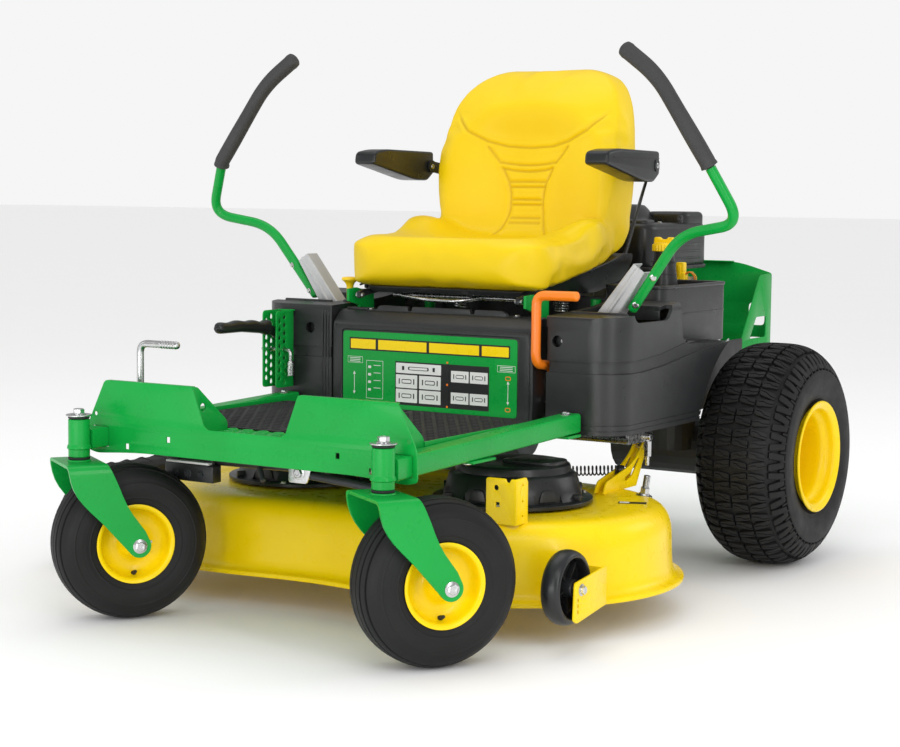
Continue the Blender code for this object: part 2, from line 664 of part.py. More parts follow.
def make_lap_bar(side, word, mower):
    """A control lever: pivot in the pod, channel, bent tube and foam grip."""
    x, y, z = SWING_AT
    push = empty("lap_push_" + word, mower, (side * x, y, PUSH_Z))
    pivot = side_box("lap_pivot_" + word, side, (-0.012, 0.012), (-0.020, 0.020),
                     (-0.012, z - PUSH_Z - 0.0155), STEEL, push)
    rod = cylinder("pivot_rod_" + word, 0.0100, *span(side * -0.030, side * 0.060), STEEL, push,
                   "X", (0, 0), 16)
    join(pivot, rod)
    swing = empty("lap_swing_" + word, push, (0, 0, z - PUSH_Z))
    here = Vector(SWING_AT)
    channel_view = [(-0.0150, -0.0080), (0.0260, -0.0080), (0.0900, 0.0920), (0.0620, 0.1060),
                    (-0.0150, 0.0080)]
    channel = sheet("lap_channel_" + word, [(side * u, v) for u, v in channel_view], 0.038, STEEL,
                    swing, "XZ", 0.0)
    bay_view = [(0.0140, 0.0150), (0.0300, -0.0200), (0.1000, 0.0900), (0.0680, 0.1150)]
    bay = sheet("channel_bay_" + word, [(side * u, v) for u, v in bay_view], 0.030, STEEL, swing,
                "XZ", 0.0)
    cut(channel, bay)
    way = [(0.3690, -0.4670, 0.5450), (0.4780, -0.4870, 0.6930), (0.6110, -0.5140, 0.7160),
           (0.5630, -0.5455, 0.8160)]
    path = bend([Vector(p) - here for p in way], 0.045, 4)
    tube("lap_bar_" + word, mirrored(path, side), BAR_TUBE, GREEN, swing)
    ahead = (path[-1] - path[-2]).normalized()
    start = path[-1] + ahead * GAP
    hold = [start, start + ahead * 0.014, Vector((0.4500, -0.5410, 0.9850)) - here,
            Vector((0.3760, -0.5350, 1.0390)) - here]
    path = hold[:1] + bend(hold[1:], 0.040, 3)
    tube("lap_grip_" + word, mirrored(path, side), GRIP_TUBE, FOAM, swing)


def make_brake_lever(mower):
    """Coated rod in the slot left of the console, bent outward for the hand."""
    pivot = empty("brake_pivot", mower, (0.2482, -0.5500, 0.3700))
    way = [(0, 0, 0), (0, -0.0300, 0.0500), (0, -0.0700, 0.0800), (0, -0.0700, 0.2070),
           (0.0900, -0.0700, 0.2075)]
    tube("brake_lever", bend(way, 0.020, 3), 0.0092, ORANGE, pivot)


def make_height_lever(mower):
    """Flat arm from its pivot in the right pod, through the quadrant, to a moulded grip."""
    pivot = empty("height_pivot", mower, (ARM_X, *ARM_PIVOT))
    at = Vector((0, *ARM_PIVOT))
    view = [(-0.4620, 0.3910), (-0.4590, 0.4060), (-0.6250, 0.4740), (-0.6520, 0.4940),
            (-0.6740, 0.5000), (-0.6740, 0.4820), (-0.6560, 0.4750), (-0.6300, 0.4560)]
    sheet("height_lever", moved(view, at), 0.006, STEEL, pivot, "YZ")
    grip = [(-0.6743, 0.5050), (-0.8150, 0.5130), (-0.8360, 0.5060), (-0.8340, 0.4900),
            (-0.8100, 0.4840), (-0.6743, 0.4790)]
    knob = sheet("height_grip", moved(grip, at), 0.026, PLASTIC, pivot, "YZ")
    rounded(knob, 0.006, 1, 40)


def make_quadrant(mower):
    """Two slotted plates with a web, bolted to the front of the right pod."""
    view = [(-0.6670, 0.3700), (-0.6670, 0.5180), (-0.6590, 0.5260), (-0.6180, 0.5260),
            (-0.6100, 0.5180), (-0.6100, 0.3700)]
    quadrant = sheet("height_quadrant", view, 0.003, GREEN, mower, "YZ", ARM_X + 0.0165)
    far = sheet("quadrant_far", view, 0.003, GREEN, mower, "YZ", ARM_X - 0.0165)
    web = box("quadrant_web", (ARM_X - 0.0180, -0.6130, 0.3700), (ARM_X + 0.0180, -0.6100, 0.4150),
              GREEN, mower)
    bore = cylinder("pin_hole", 0.0048, ARM_X - 0.03, ARM_X + 0.03, GREEN, mower, "X",
                    (-0.6400, 0.4460), 12)
    join(quadrant, far, web)
    cut(quadrant, bore)


def make_hitch_pin(mower):
    """Bent pin through the quadrant, under the arm, with a sleeve to hold it by."""
    start = empty("hitch_pin_seat", mower, (ARM_X, -0.6400, 0.4460))
    way = [(-0.0340, 0, 0), (0.0330, 0, 0), (0.0330, 0, -0.0480)]
    pin = tube("hitch_pin", bend(way, 0.008, 3), 0.0040, ZINC, start)
    sleeve = cylinder("pin_sleeve", 0.0070, -0.0520, -0.0240, ZINC, start, at=(0.0330, 0),
                      sides=16)
    join(pin, sleeve)


def make_pedal(mower):
    """The foot rod that helps to raise the deck."""
    pivot = empty("pedal_pivot", mower, (PEDAL_X, PEDAL_Y, 0.3250))
    way = [(0, 0, -0.0120), (0, 0, 0.1660), (0.0900, 0, 0.1660)]
    tube("lift_pedal", bend(way, 0.016, 3), 0.0070, ZINC, pivot)


def make_knobs(mower):
    """Blade switch and throttle on the right pod."""
    knob = turned("pto_knob", [(0, 0.0550), (0.0150, 0.0540), (0.0170, 0.0480), (0.0120, 0.0380),
                               (0.0060, 0.0340), (0.0060, 0.0010), (0, 0.0010)], CAP,
                  mower, (-0.2500, -0.5170, 0.5373), sides=20, closed=False)
    knob.data.name = "pto_knob"
    top = empty("throttle_pivot", mower, (-0.3100, -0.3700, 0.5620))
    lever = sheet("throttle_lever", [(-0.004, 0.0), (0.004, 0.0), (0.006, 0.030), (-0.006, 0.030)],
                  0.006, PLASTIC, top, "YZ")
    ball = box("throttle_knob", (-0.008, -0.011, 0.024), (0.008, 0.011, 0.044), PLASTIC, top,
               0.004)
    join(lever, ball)


# ---------------------------------------------------------------- engine, drive and rear guard

def make_engine(mower):
    """Vertical-shaft twin: crankcase with two heads, and the blower housing over it."""
    block = cylinder("engine_block", 0.1150, 0.3645, 0.5950, ALLOY, mower, at=(0, 0.130))
    pieces = [box("engine_foot_plate", (-0.2150, 0.0300, 0.3645), (0.2150, 0.2300, 0.3740), ALLOY,
                  mower)]
    for side, word in SIDES:
        pieces.append(side_box("cylinder_" + word, side, (0.060, 0.205), (0.050, 0.175),
                               (0.430, 0.560), ALLOY, mower, 0.008))
    pieces.append(cylinder("muffler", 0.055, -0.150, 0.150, ALLOY, mower, "X", (0.282, 0.440)))
    join(block, *pieces)
    housing = box("blower_housing", (-0.188, -0.030, 0.6020), (0.188, 0.285, 0.7050), PLASTIC,
                  mower, 0.022, 2)
    screen = cylinder("intake_screen", 0.1250, 0.690, 0.7470, PLASTIC, mower, at=(-0.02, 0.150),
                      sides=28, top=0.095)
    join(housing, screen)


def make_transaxle(side, word, mower):
    """Sealed hydrostatic drive with its axle shaft."""
    drive = cylinder("transaxle_" + word, 0.0600, *span(side * 0.120, side * 0.340), CASTING,
                     mower, "X", (0, REAR_RADIUS), 20)
    neck = cylinder("axle_neck_" + word, 0.0330, *span(side * 0.330, side * 0.366), CASTING,
                    mower, "X", (0, REAR_RADIUS), 20)
    shaft = cylinder("axle_shaft_" + word, AXLE_SHAFT, *span(side * 0.360, side * 0.4640), CASTING,
                     mower, "X", (0, REAR_RADIUS), 20)
    pump = cylinder("pump_" + word, 0.0520, REAR_RADIUS, 0.3150, CASTING, mower,
                    at=(side * 0.260, -0.055), sides=20)
    join(drive, neck, shaft, pump)


def make_rear_guard(mower):
    """Sheet guard round the engine with cooling windows, on the ends of the main rails."""
    y = 0.4280
    half = [(0.2800, 0.3220), (0.2800, 0.5880), (0.1900, 0.6140)]
    back = half + [(-x, z) for x, z in reversed(half)]
    guard = sheet("rear_guard", back, SHEET, GREEN, mower, "XZ", y)
    wing = [(y, 0.3220), (y, 0.5880), (0.3630, 0.5850), (0.2480, 0.4200), (0.2480, 0.3220)]
    wings = [sheet("guard_wing_" + word, wing, SHEET, GREEN, mower, "YZ", side * 0.2785)
             for side, word in SIDES]
    join(guard, *wings)
    windows = [box(f"guard_window_{i}", (x - 0.050, y - 0.02, z - 0.020),
                   (x + 0.050, y + 0.02, z + 0.020), GREEN, mower)
               for i, (x, z) in enumerate((x, z) for z in (0.400, 0.470, 0.540)
                                          for x in (-0.190, 0.0, 0.190))]
    slots = [box("wing_window", (-0.32, 0.345, 0.440), (0.32, 0.400, 0.490), GREEN, mower),
             box("wing_window_low", (-0.32, 0.300, 0.350), (0.32, 0.400, 0.400), GREEN, mower)]
    cut(guard, *windows, *slots)


# ---------------------------------------------------------------- mower deck

def lobe_outline(radius, inset=0.0, count=9):
    """Plan of the deck: two lobes joined by a slightly waisted front and a straight rear."""
    reach = radius - inset
    waist = 0.022
    left = arc((LOBE_X, LOBE_Y), reach, -90, 90, count)
    right = arc((-LOBE_X, LOBE_Y), reach, 90, 270, count)
    front = [(-0.10, LOBE_Y - reach + waist), (0.10, LOBE_Y - reach + waist)]
    return left + right + front


def loft(name, rings, finish, parent):
    """A skin over matching rings of points from the rim up, closed over the last ring."""
    mesh = bpy.data.meshes.new(name)
    count = len(rings[0])
    verts = [point for ring in rings for point in ring]
    faces = []
    for level in range(len(rings) - 1):
        low, high = level * count, (level + 1) * count
        for i in range(count):
            j = (i + 1) % count
            faces.append((low + i, low + j, high + j, high + i))
    top = (len(rings) - 1) * count
    faces.append(tuple(top + i for i in range(count)))
    mesh.from_pydata(verts, [], faces)
    return place(name, mesh, finish, parent)


def make_deck(mower):
    """The stamped housing with its welded brackets, open below and at the discharge side."""
    levels = [(0.000, LIP_Z), (0.003, LIP_Z + 0.008), (0.018, LIP_Z + 0.012),
              (0.022, LIP_Z + 0.022), (0.024, 0.162), (0.036, 0.186), (0.062, DECK_TOP)]
    rings = [[(x, y, z) for x, y in lobe_outline(LOBE_RADIUS, inset)] for inset, z in levels]
    shell = loft("deck_shell", rings, YELLOW, mower)
    skin = shell.modifiers.new("sheet", "SOLIDIFY")
    skin.thickness = DECK_SHEET
    skin.offset = -1.0
    pieces = []
    upright = [(0.3300, DECK_TOP - 0.002), (0.3900, DECK_TOP - 0.002), (0.3900, 0.2780),
               (0.3300, 0.2780)]
    pieces.append(sheet("front_bracket", upright, 0.004, YELLOW, mower, "XZ", -0.9300))
    pieces.append(box("front_bracket_side", (0.3860, -0.9310, DECK_TOP - 0.002),
                      (0.3900, -0.8900, 0.2780), YELLOW, mower))
    hanger = [(-0.5300, DECK_TOP - 0.002), (-0.3920, DECK_TOP - 0.002), (-0.3450, 0.2780),
              (-0.3650, 0.2810), (-0.4100, 0.2350), (-0.5150, 0.2200)]
    for side, word in SIDES:
        pieces.append(sheet("hanger_" + word, hanger, 0.004, YELLOW, mower, "YZ", side * 0.3480))
        pieces.extend(scalp_bracket(side, word, mower))
    pieces.append(box("chute_shelf", (-0.5620, -0.8800, 0.1600), (-0.4900, -0.5400, 0.1640),
                      YELLOW, mower))
    join(shell, *pieces)
    for side, word in SIDES:
        cut(shell, cylinder("spindle_hole_" + word, 0.0300, 0.150, 0.230, YELLOW, mower,
                            at=(side * LOBE_X, LOBE_Y), sides=20))
    mouth = box("discharge_mouth", (-0.640, -0.860, 0.040), (-0.480, -0.560, 0.158), YELLOW, mower)
    cut(shell, mouth)


SCALP_AT = (0.5050, -0.9600, 0.1100)


def scalp_bracket(side, word, mower):
    """A plate outside the anti-scalp wheel, carried back to the deck's wall, with its axle."""
    x, y, z = SCALP_AT
    plate = [(y - 0.0200, z + 0.0130), (y + 0.0900, z + 0.0250), (y + 0.0900, z - 0.0400),
             (y - 0.0120, z - 0.0560), (y - 0.0240, z - 0.0500)]
    outer = sheet("scalp_plate_" + word, plate, 0.004, YELLOW, mower, "YZ", side * (x + 0.0280))
    tie = side_box("scalp_tie_" + word, side, (0.4620, x + 0.0295), (y + 0.0860, y + 0.0900),
                   (z - 0.0300, z + 0.0200), YELLOW, mower)
    axle = cylinder("scalp_axle_" + word, 0.0050, *span(side * (x - 0.0190), side * (x + 0.0290)),
                    YELLOW, mower, "X", (y, z), 12)
    return outer, tie, axle


def make_scalp_wheel(side, word, mower):
    """Dished plastic roller that keeps the deck off high ground."""
    x, y, z = SCALP_AT
    hub = empty("scalp_hub_" + word, mower, (side * x, y, z))
    hub.rotation_euler = (0, side * math.pi / 2, 0)
    profile = [(0.0560, 0.0180), (0.0630, 0.0080), (0.0640, 0.0000), (0.0630, -0.0080),
               (0.0560, -0.0180), (0.0054, -0.0180), (0.0054, 0.0180), (0.0140, 0.0180),
               (0.0160, -0.0080), (0.0450, -0.0080), (0.0500, 0.0180)]
    turned("scalp_wheel_" + word, profile, PLASTIC, hub, sides=24)


def make_belt_cover(side, word, mower):
    """Moulded cover over a spindle pulley, open below."""
    low = DECK_TOP + GAP
    profile = [(0, COVER_TOP), (0.1000, COVER_TOP), (0.1150, 0.2660), (0.1360, 0.2140),
               (COVER_RADIUS, 0.2080), (COVER_RADIUS, low), (0.1340, low), (0.1120, 0.2630),
               (0.0980, 0.2690), (0, 0.2690)]
    turned("belt_cover_" + word, profile, PLASTIC, mower, (side * LOBE_X, LOBE_Y, 0), sides=28,
           closed=False)


def make_blade(side, word, mower):
    """Blade, spindle shaft and pulley, which turn together."""
    spin = empty("spindle_" + word, mower, (side * LOBE_X, LOBE_Y, 0))
    blade = box("blade_" + word, (-0.2250, -0.0250, BLADE_Z), (0.2250, 0.0250, BLADE_Z + 0.005),
                STEEL, spin)
    wings = [box(f"blade_wing_{word}_{i}", (e * 0.170 - 0.045, e * 0.015 - 0.006, BLADE_Z + 0.001),
                 (e * 0.170 + 0.045, e * 0.015 + 0.006, BLADE_Z + 0.018), STEEL, spin)
             for i, e in enumerate((LEFT, RIGHT))]
    shaft = cylinder("spindle_shaft_" + word, 0.0125, 0.0700, 0.2620, STEEL, spin, sides=16)
    pulley = cylinder("pulley_" + word, 0.0620, 0.2300, 0.2480, STEEL, spin, sides=24)
    join(blade, *wings, shaft, pulley)


def make_chute(mower):
    """The hinged deflector over the discharge mouth."""
    at = Vector((-0.5680, -0.7100, 0.1760))
    hinge = empty("chute_hinge", mower, at)
    half = 0.165
    view = [(-0.5640, 0.1710), (-0.5720, 0.1800), (-0.6200, 0.1720), (-0.7100, 0.1180),
            (-0.7380, 0.0700), (-0.7330, 0.0680), (-0.7060, 0.1130), (-0.6180, 0.1660)]
    flap = sheet("discharge_chute", [(x - at.x, z - at.z) for x, z in view], 2 * half, RUBBER,
                 hinge, "XZ")
    skirt = [(-0.5850, 0.1740), (-0.6200, 0.1700), (-0.7080, 0.1160), (-0.7360, 0.0690),
             (-0.7000, 0.0600), (-0.5900, 0.1000)]
    skirts = [sheet(f"chute_skirt_{i}", [(x - at.x, z - at.z) for x, z in skirt], 0.004, RUBBER,
                    hinge, "XZ", e * (half - 0.002)) for i, e in enumerate((LEFT, RIGHT))]
    join(flap, *skirts)


def make_lift_shaft(mower):
    """Cross shaft whose arms raise the deck by its hangers."""
    shaft = empty("lift_shaft_pivot", mower, (0, *LIFT_SHAFT))
    rod = cylinder("lift_shaft", 0.0090, -0.3640, 0.3640, ZINC, shaft, "X", (0, 0), 16)
    arms = [side_box("lift_arm_" + word, side, (0.3585, 0.3640), (-0.008, 0.0950),
                     (-0.009, 0.009), ZINC, shaft) for side, word in SIDES]
    join(rod, *arms)


# ---------------------------------------------------------------- assembly

def build():
    clear_scene()
    collection(PARTS)
    collection(HELPERS)
    mower = empty("mower", at=AXLE_AT)
    make_main_frame(mower)
    make_foot_deck(mower)
    make_foot_mat(mower)
    make_console(mower)
    for side, word in SIDES:
        make_front_rail(side, word, mower)
        make_caster(side, word, mower)
        make_rear_wheel(side, word, mower)
        make_transaxle(side, word, mower)
        make_pod(side, word, mower)
        make_lap_bar(side, word, mower)
        make_belt_cover(side, word, mower)
        make_blade(side, word, mower)
        make_scalp_wheel(side, word, mower)
    make_seat(mower)
    make_fuel_tank(mower)
    make_battery_box(mower)
    make_brake_lever(mower)
    make_height_lever(mower)
    make_quadrant(mower)
    make_hitch_pin(mower)
    make_pedal(mower)
    make_knobs(mower)
    make_engine(mower)
    make_rear_guard(mower)
    make_deck(mower)
    make_chute(mower)
    make_lift_shaft(mower)


build()
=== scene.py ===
import bisect
import json
import math

import bmesh
import bpy
import numpy as np
from mathutils import Matrix, Vector


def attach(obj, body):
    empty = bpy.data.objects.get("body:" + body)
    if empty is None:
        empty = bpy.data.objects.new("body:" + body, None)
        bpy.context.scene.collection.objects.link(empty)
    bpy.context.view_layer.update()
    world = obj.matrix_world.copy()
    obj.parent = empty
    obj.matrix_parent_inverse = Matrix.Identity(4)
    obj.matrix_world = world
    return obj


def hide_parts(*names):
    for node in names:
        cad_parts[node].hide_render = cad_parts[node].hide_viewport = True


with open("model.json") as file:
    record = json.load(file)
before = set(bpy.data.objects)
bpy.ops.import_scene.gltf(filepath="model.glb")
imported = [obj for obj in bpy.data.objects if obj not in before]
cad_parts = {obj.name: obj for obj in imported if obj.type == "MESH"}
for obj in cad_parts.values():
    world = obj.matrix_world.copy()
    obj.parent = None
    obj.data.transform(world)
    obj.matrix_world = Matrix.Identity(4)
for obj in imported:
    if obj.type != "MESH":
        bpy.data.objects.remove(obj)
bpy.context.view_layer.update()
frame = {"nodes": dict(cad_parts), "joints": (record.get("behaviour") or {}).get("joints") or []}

JOINTS = {joint["name"]: joint for joint in frame["joints"]}
LEFT, RIGHT = 1, -1
UP = (0, 0, 1)
FORWARD = (0, -1, 0)
SHEET_EDGE = 0.0006
SIDES = ((LEFT, "left"), (RIGHT, "right"))


def spot(joint):
    return Vector(JOINTS[joint]["pos_m"])


# The mower's own frame: rear axle at Y = 0, centre plane at X = 0, ground at Z = 0.
AXLE = (spot("rear_spin_left") + spot("rear_spin_right")) / 2
ORIGIN = Vector((AXLE.x, AXLE.y, 0.0))
HERE = Matrix.Translation(ORIGIN)


# ---------------------------------------------------------------- materials

class Nodes:
    """A material's node tree, with short calls for the nodes used here."""

    def __init__(self, name):
        self.material = bpy.data.materials.new(name)
        self.material.use_nodes = True
        self.tree = self.material.node_tree
        self.shader = self.tree.nodes["Principled BSDF"]
        self.place = self.node("ShaderNodeTexCoord").outputs["Object"]

    def node(self, kind, **inputs):
        made = self.tree.nodes.new(kind)
        for key, value in inputs.items():
            made.inputs[key.replace("_", " ")].default_value = value
        return made

    def link(self, out, into):
        self.tree.links.new(out, into)
        return into

    def noise(self, scale, detail):
        made = self.node("ShaderNodeTexNoise", Scale=scale, Detail=detail, Roughness=0.55)
        self.link(self.place, made.inputs["Vector"])
        return made.outputs["Fac"]

    def cells(self, scale):
        made = self.node("ShaderNodeTexVoronoi", Scale=scale)
        made.feature = "SMOOTH_F1"
        self.link(self.place, made.inputs["Vector"])
        return made.outputs["Distance"]

    def span(self, value, low, high, from_low=0.3, from_high=0.7):
        made = self.node("ShaderNodeMapRange")
        for i, number in enumerate((from_low, from_high, low, high), 1):
            made.inputs[i].default_value = number
        self.link(value, made.inputs[0])
        return made.outputs[0]

    def blend(self, factor, first, second):
        made = self.node("ShaderNodeMix")
        made.data_type = "RGBA"
        for i, colour in ((6, first), (7, second)):
            if isinstance(colour, tuple):
                made.inputs[i].default_value = (*colour, 1.0)
            else:
                self.link(colour, made.inputs[i])
        self.link(factor, made.inputs[0])
        return made.outputs[2]

    def bump(self, height, strength, distance, before=None):
        made = self.node("ShaderNodeBump", Strength=strength, Distance=distance)
        self.link(height, made.inputs["Height"])
        if before is not None:
            self.link(before, made.inputs["Normal"])
        return made.outputs[0]


def surface(name, colour, other, rough, grain, lumps=None, cells=None, metal=0.0, coat=0.0, specular=0.5,
            blotch=9.0):
    """One procedural finish. colour and other are mixed in broad patches, rough is (low, high),
    grain and lumps are (scale, strength, distance) of the fine and the broad relief."""
    n = Nodes(name)
    patches = n.span(n.noise(blotch, 4.0), 0.0, 1.0)
    n.link(n.blend(patches, colour, other), n.shader.inputs["Base Color"])
    n.link(n.span(n.noise(blotch * 4.0, 5.0), *rough), n.shader.inputs["Roughness"])
    relief = None
    if lumps:
        relief = n.bump(n.noise(lumps[0], 2.0), lumps[1], lumps[2])
    if cells:
        relief = n.bump(n.cells(cells[0]), cells[1], cells[2], relief)
    relief = n.bump(n.noise(grain[0], 2.0), grain[1], grain[2], relief)
    n.link(relief, n.shader.inputs["Normal"])
    n.shader.inputs["Metallic"].default_value = metal
    n.shader.inputs["Coat Weight"].default_value = coat
    n.shader.inputs["Coat Roughness"].default_value = 0.08
    n.shader.inputs["Specular IOR Level"].default_value = specular
    return n.material


GREEN = surface("green_paint", (0.003, 0.31, 0.042), (0.004, 0.35, 0.052), (0.24, 0.36), (900, 0.06, 0.0002),
                lumps=(40, 0.03, 0.0005), coat=0.06, specular=0.26)
YELLOW = surface("yellow_paint", (0.93, 0.65, 0.0), (0.97, 0.7, 0.002), (0.24, 0.36), (900, 0.06, 0.0002),
                 lumps=(40, 0.03, 0.0005), coat=0.1, specular=0.28)
PLASTIC = surface("black_plastic", (0.017, 0.018, 0.019), (0.025, 0.026, 0.027), (0.27, 0.37),
                  (1400, 0.3, 0.0004), cells=(800, 0.15, 0.0003))
SMOOTH = surface("smooth_black_plastic", (0.01, 0.011, 0.012), (0.018, 0.019, 0.02), (0.26, 0.38),
                 (900, 0.1, 0.0003))
RUBBER = surface("black_rubber", (0.012, 0.012, 0.013), (0.02, 0.02, 0.021), (0.62, 0.78),
                 (900, 0.3, 0.0005), lumps=(90, 0.15, 0.001))
TYRE = surface("tyre_rubber", (0.009, 0.009, 0.009), (0.014, 0.014, 0.015), (0.48, 0.62),
               (700, 0.25, 0.0005), lumps=(40, 0.1, 0.001), specular=0.28)
FOAM = surface("grip_foam", (0.034, 0.034, 0.035), (0.046, 0.046, 0.047), (0.55, 0.68), (1800, 0.35, 0.0006),
               cells=(1300, 0.35, 0.0005))
ZINC = surface("zinc_steel", (0.56, 0.57, 0.58), (0.7, 0.7, 0.69), (0.2, 0.36), (500, 0.05, 0.0001),
               cells=(260, 0.04, 0.0001), metal=1.0, blotch=40.0)
STEEL = surface("grey_steel", (0.5, 0.51, 0.515), (0.58, 0.585, 0.59), (0.36, 0.5), (800, 0.15, 0.0003),
                metal=0.35, blotch=25.0)
CASTING = surface("cast_housing", (0.035, 0.038, 0.042), (0.06, 0.063, 0.068), (0.42, 0.58),
                  (400, 0.45, 0.001), lumps=(90, 0.2, 0.001), metal=0.4)
ALLOY = surface("engine_alloy", (0.3, 0.305, 0.31), (0.4, 0.405, 0.41), (0.4, 0.55), (450, 0.4, 0.0008),
                lumps=(80, 0.2, 0.001), metal=0.85, blotch=20.0)
ORANGE = surface("orange_coating", (0.93, 0.19, 0.006), (0.96, 0.24, 0.01), (0.3, 0.42), (900, 0.1, 0.0003),
                 coat=0.2)
CAP = surface("yellow_plastic", (0.93, 0.62, 0.001), (0.96, 0.66, 0.004), (0.32, 0.44), (1100, 0.2, 0.0003))
# Pale flat finish for labels and plug insulators; it also paints a highlight on the front linkage block's
# top.
PALE_AND_HIGHLIGHT = surface("pale_and_painted_highlight", (0.76, 0.76, 0.74), (0.82, 0.82, 0.8), (0.4, 0.5), (900, 0.06, 0.0002))
# Dark flat finish for labels, plug boots and leads; it also paints shade on the sheet behind each pod's
# arch.
DARK_AND_SHADE = surface("dark_and_painted_shade", (0.01, 0.01, 0.011), (0.016, 0.016, 0.017), (0.4, 0.5), (900, 0.06, 0.0002))
FINISHES = {"green": GREEN, "yellow": YELLOW, "yellow_plastic": CAP, "plastic": PLASTIC, "rubber": RUBBER,
            "tyre": TYRE, "foam": FOAM, "zinc": ZINC, "steel": STEEL, "casting": CASTING, "alloy": ALLOY,
            "orange": ORANGE, "vinyl": None}


# ---------------------------------------------------------------- shapes

def moved(x, y, z):
    return Matrix.Translation((x, y, z))


def turned(angle, axis="Z"):
    return Matrix.Rotation(angle, 4, axis)


def around(count, start=0.0):
    """Turns about Z at even steps, from start degrees."""
    return [turned(math.radians(start + 360 * i / count)) for i in range(count)]


def temp(mesh):
    made = bpy.data.objects.new("part", mesh)
    bpy.context.scene.collection.objects.link(made)
    return made


def discard(obj):
    mesh = obj.data
    bpy.data.objects.remove(obj)
    bpy.data.meshes.remove(mesh)


def raw(verts, faces, place=None):
    mesh = bpy.data.meshes.new("part")
    mesh.from_pydata([tuple(v) for v in verts], [], faces)
    if place is not None:
        mesh.transform(place)
    return temp(mesh)


def tidy(mesh, place=None):
    """Welds a mesh, turns its faces outwards and moves it."""
    shape = bmesh.new()
    shape.from_mesh(mesh)
    bmesh.ops.remove_doubles(shape, verts=shape.verts, dist=0.00001)
    bmesh.ops.recalc_face_normals(shape, faces=shape.faces)
    shape.to_mesh(mesh)
    shape.free()
    if place is not None:
        mesh.transform(place)
    return mesh


def evaluated(obj):
    bpy.context.view_layer.update()
    graph = bpy.context.evaluated_depsgraph_get()
    return bpy.data.meshes.new_from_object(obj.evaluated_get(graph), depsgraph=graph)


QUARTER = math.pi / 2
PLANES = {"XY": Matrix.Identity(4), "XZ": turned(QUARTER, "X"), "YZ": turned(QUARTER) @ turned(QUARTER, "X")}
ACROSS = {"XY": Vector(UP), "XZ": Vector((0, 1, 0)), "YZ": Vector((1, 0, 0))}


def plate(points, thickness, plane="XZ", middle=0.0, holes=(), edge=0.0, steps=1):
    """A flat piece cut to an outline with holes, its edges rounded by edge."""
    curve = bpy.data.curves.new("plate", "CURVE")
    curve.dimensions = "2D"
    curve.fill_mode = "BOTH"
    curve.extrude = max(thickness / 2 - edge, 0.00001)
    curve.bevel_depth = edge
    curve.bevel_resolution = steps
    curve.offset = -edge
    for loop in (points, *holes):
        spline = curve.splines.new("POLY")
        spline.points.add(len(loop) - 1)
        for point, (u, v) in zip(spline.points, loop):
            point.co = (u, v, 0, 1)
        spline.use_cyclic_u = True
    obj = temp(curve)
    mesh = evaluated(obj)
    bpy.data.objects.remove(obj)
    bpy.data.curves.remove(curve)
    mesh.materials.clear()
    return temp(tidy(mesh, Matrix.Translation(ACROSS[plane] * middle) @ PLANES[plane]))


def block(low, high, edge=0.0, steps=2):
    low, high = Vector(low), Vector(high)
    low, high = (Vector(map(min, zip(low, high))), Vector(map(max, zip(low, high))))
    shape = bmesh.new()
    bmesh.ops.create_cube(shape, size=1.0)
    bmesh.ops.scale(shape, vec=high - low, verts=shape.verts)
    if edge:
        bmesh.ops.bevel(shape, geom=shape.edges, offset=edge, segments=steps, profile=0.5, affect="EDGES")
    bmesh.ops.translate(shape, vec=(low + high) / 2, verts=shape.verts)
    mesh = bpy.data.meshes.new("block")
    shape.to_mesh(mesh)
    shape.free()
    return temp(mesh)


def lathe(profile, sides=48, closed=True, place=None):
    """A ring or disc turned about Z from (radius, height) points."""
    verts, faces = [], []
    count = len(profile)
    for i in range(sides):
        angle = 2 * math.pi * i / sides
        for radius, height in profile:
            verts.append((radius * math.cos(angle), radius * math.sin(angle), height))
    last = count if closed else count - 1
    for i in range(sides):
        j = (i + 1) % sides
        for k in range(last):
            m = (k + 1) % count
            faces.append((i * count + k, j * count + k, j * count + m, i * count + m))
    part = raw(verts, faces)
    tidy(part.data, place)
    return part


def aim(at, direction):
    """The place and turn that put local +Z along a direction."""
    turn = Vector(direction).to_track_quat("Z", "Y").to_matrix().to_4x4()
    return Matrix.Translation(Vector(at)) @ turn


def rod(start, end, radius, sides=20, edge=0.0):
    """A round bar with chamfered ends."""
    start, end = Vector(start), Vector(end)
    size = (end - start).length
    edge = edge or radius * 0.15
    profile = [(0, 0), (radius - edge, 0), (radius, edge), (radius, size - edge), (radius - edge, size),
               (0, size)]
    return lathe(profile, sides, False, aim(start, end - start))


def bolt(at, direction, size, washer=1.35, height=0.62, turn=0.0):
    """A hexagon head of that radius on a flange, with its chamfered top."""
    place = aim(at, direction) @ turned(turn)
    flange = size * washer
    rim = size * 0.16
    base = lathe([(0, 0), (flange, 0), (flange, rim * 0.6), (size * 1.02, rim * 1.4), (0, rim * 1.4)], 24,
                 False, place)
    top = rim + size * height
    head = lathe([(0, rim), (size, rim), (size, top - size * 0.12), (size * 0.84, top), (size * 0.5, top),
                  (size * 0.44, top - size * 0.05), (0, top - size * 0.05)], 6, False, place)
    return base, head


def sweep(points, section, closed_section=True, up=None):
    """A skin that carries a section, given as (across, up) offsets, along points."""
    points = [Vector(p) for p in points]
    count = 0
    verts, faces = [], []
    normal = None
    for i, point in enumerate(points):
        ahead = points[min(i + 1, len(points) - 1)] - points[max(i - 1, 0)]
        ahead.normalize()
        if up is not None:
            normal = Vector(up)
        elif normal is None:
            normal = ahead.orthogonal()
        normal = (normal - ahead * normal.dot(ahead)).normalized()
        side = ahead.cross(normal)
        offsets = section(i / (len(points) - 1)) if callable(section) else section
        count = len(offsets)
        verts.extend(point + side * u + normal * v for u, v in offsets)
    for i in range(len(points) - 1):
        for k in range(count if closed_section else count - 1):
            m = (k + 1) % count
            faces.append((i * count + k, i * count + m, (i + 1) * count + m, (i + 1) * count + k))
    if closed_section:
        faces.append(tuple(range(count)))
        faces.append(tuple((len(points) - 1) * count + k for k in range(count)))
    part = raw(verts, faces)
    tidy(part.data)
    return part


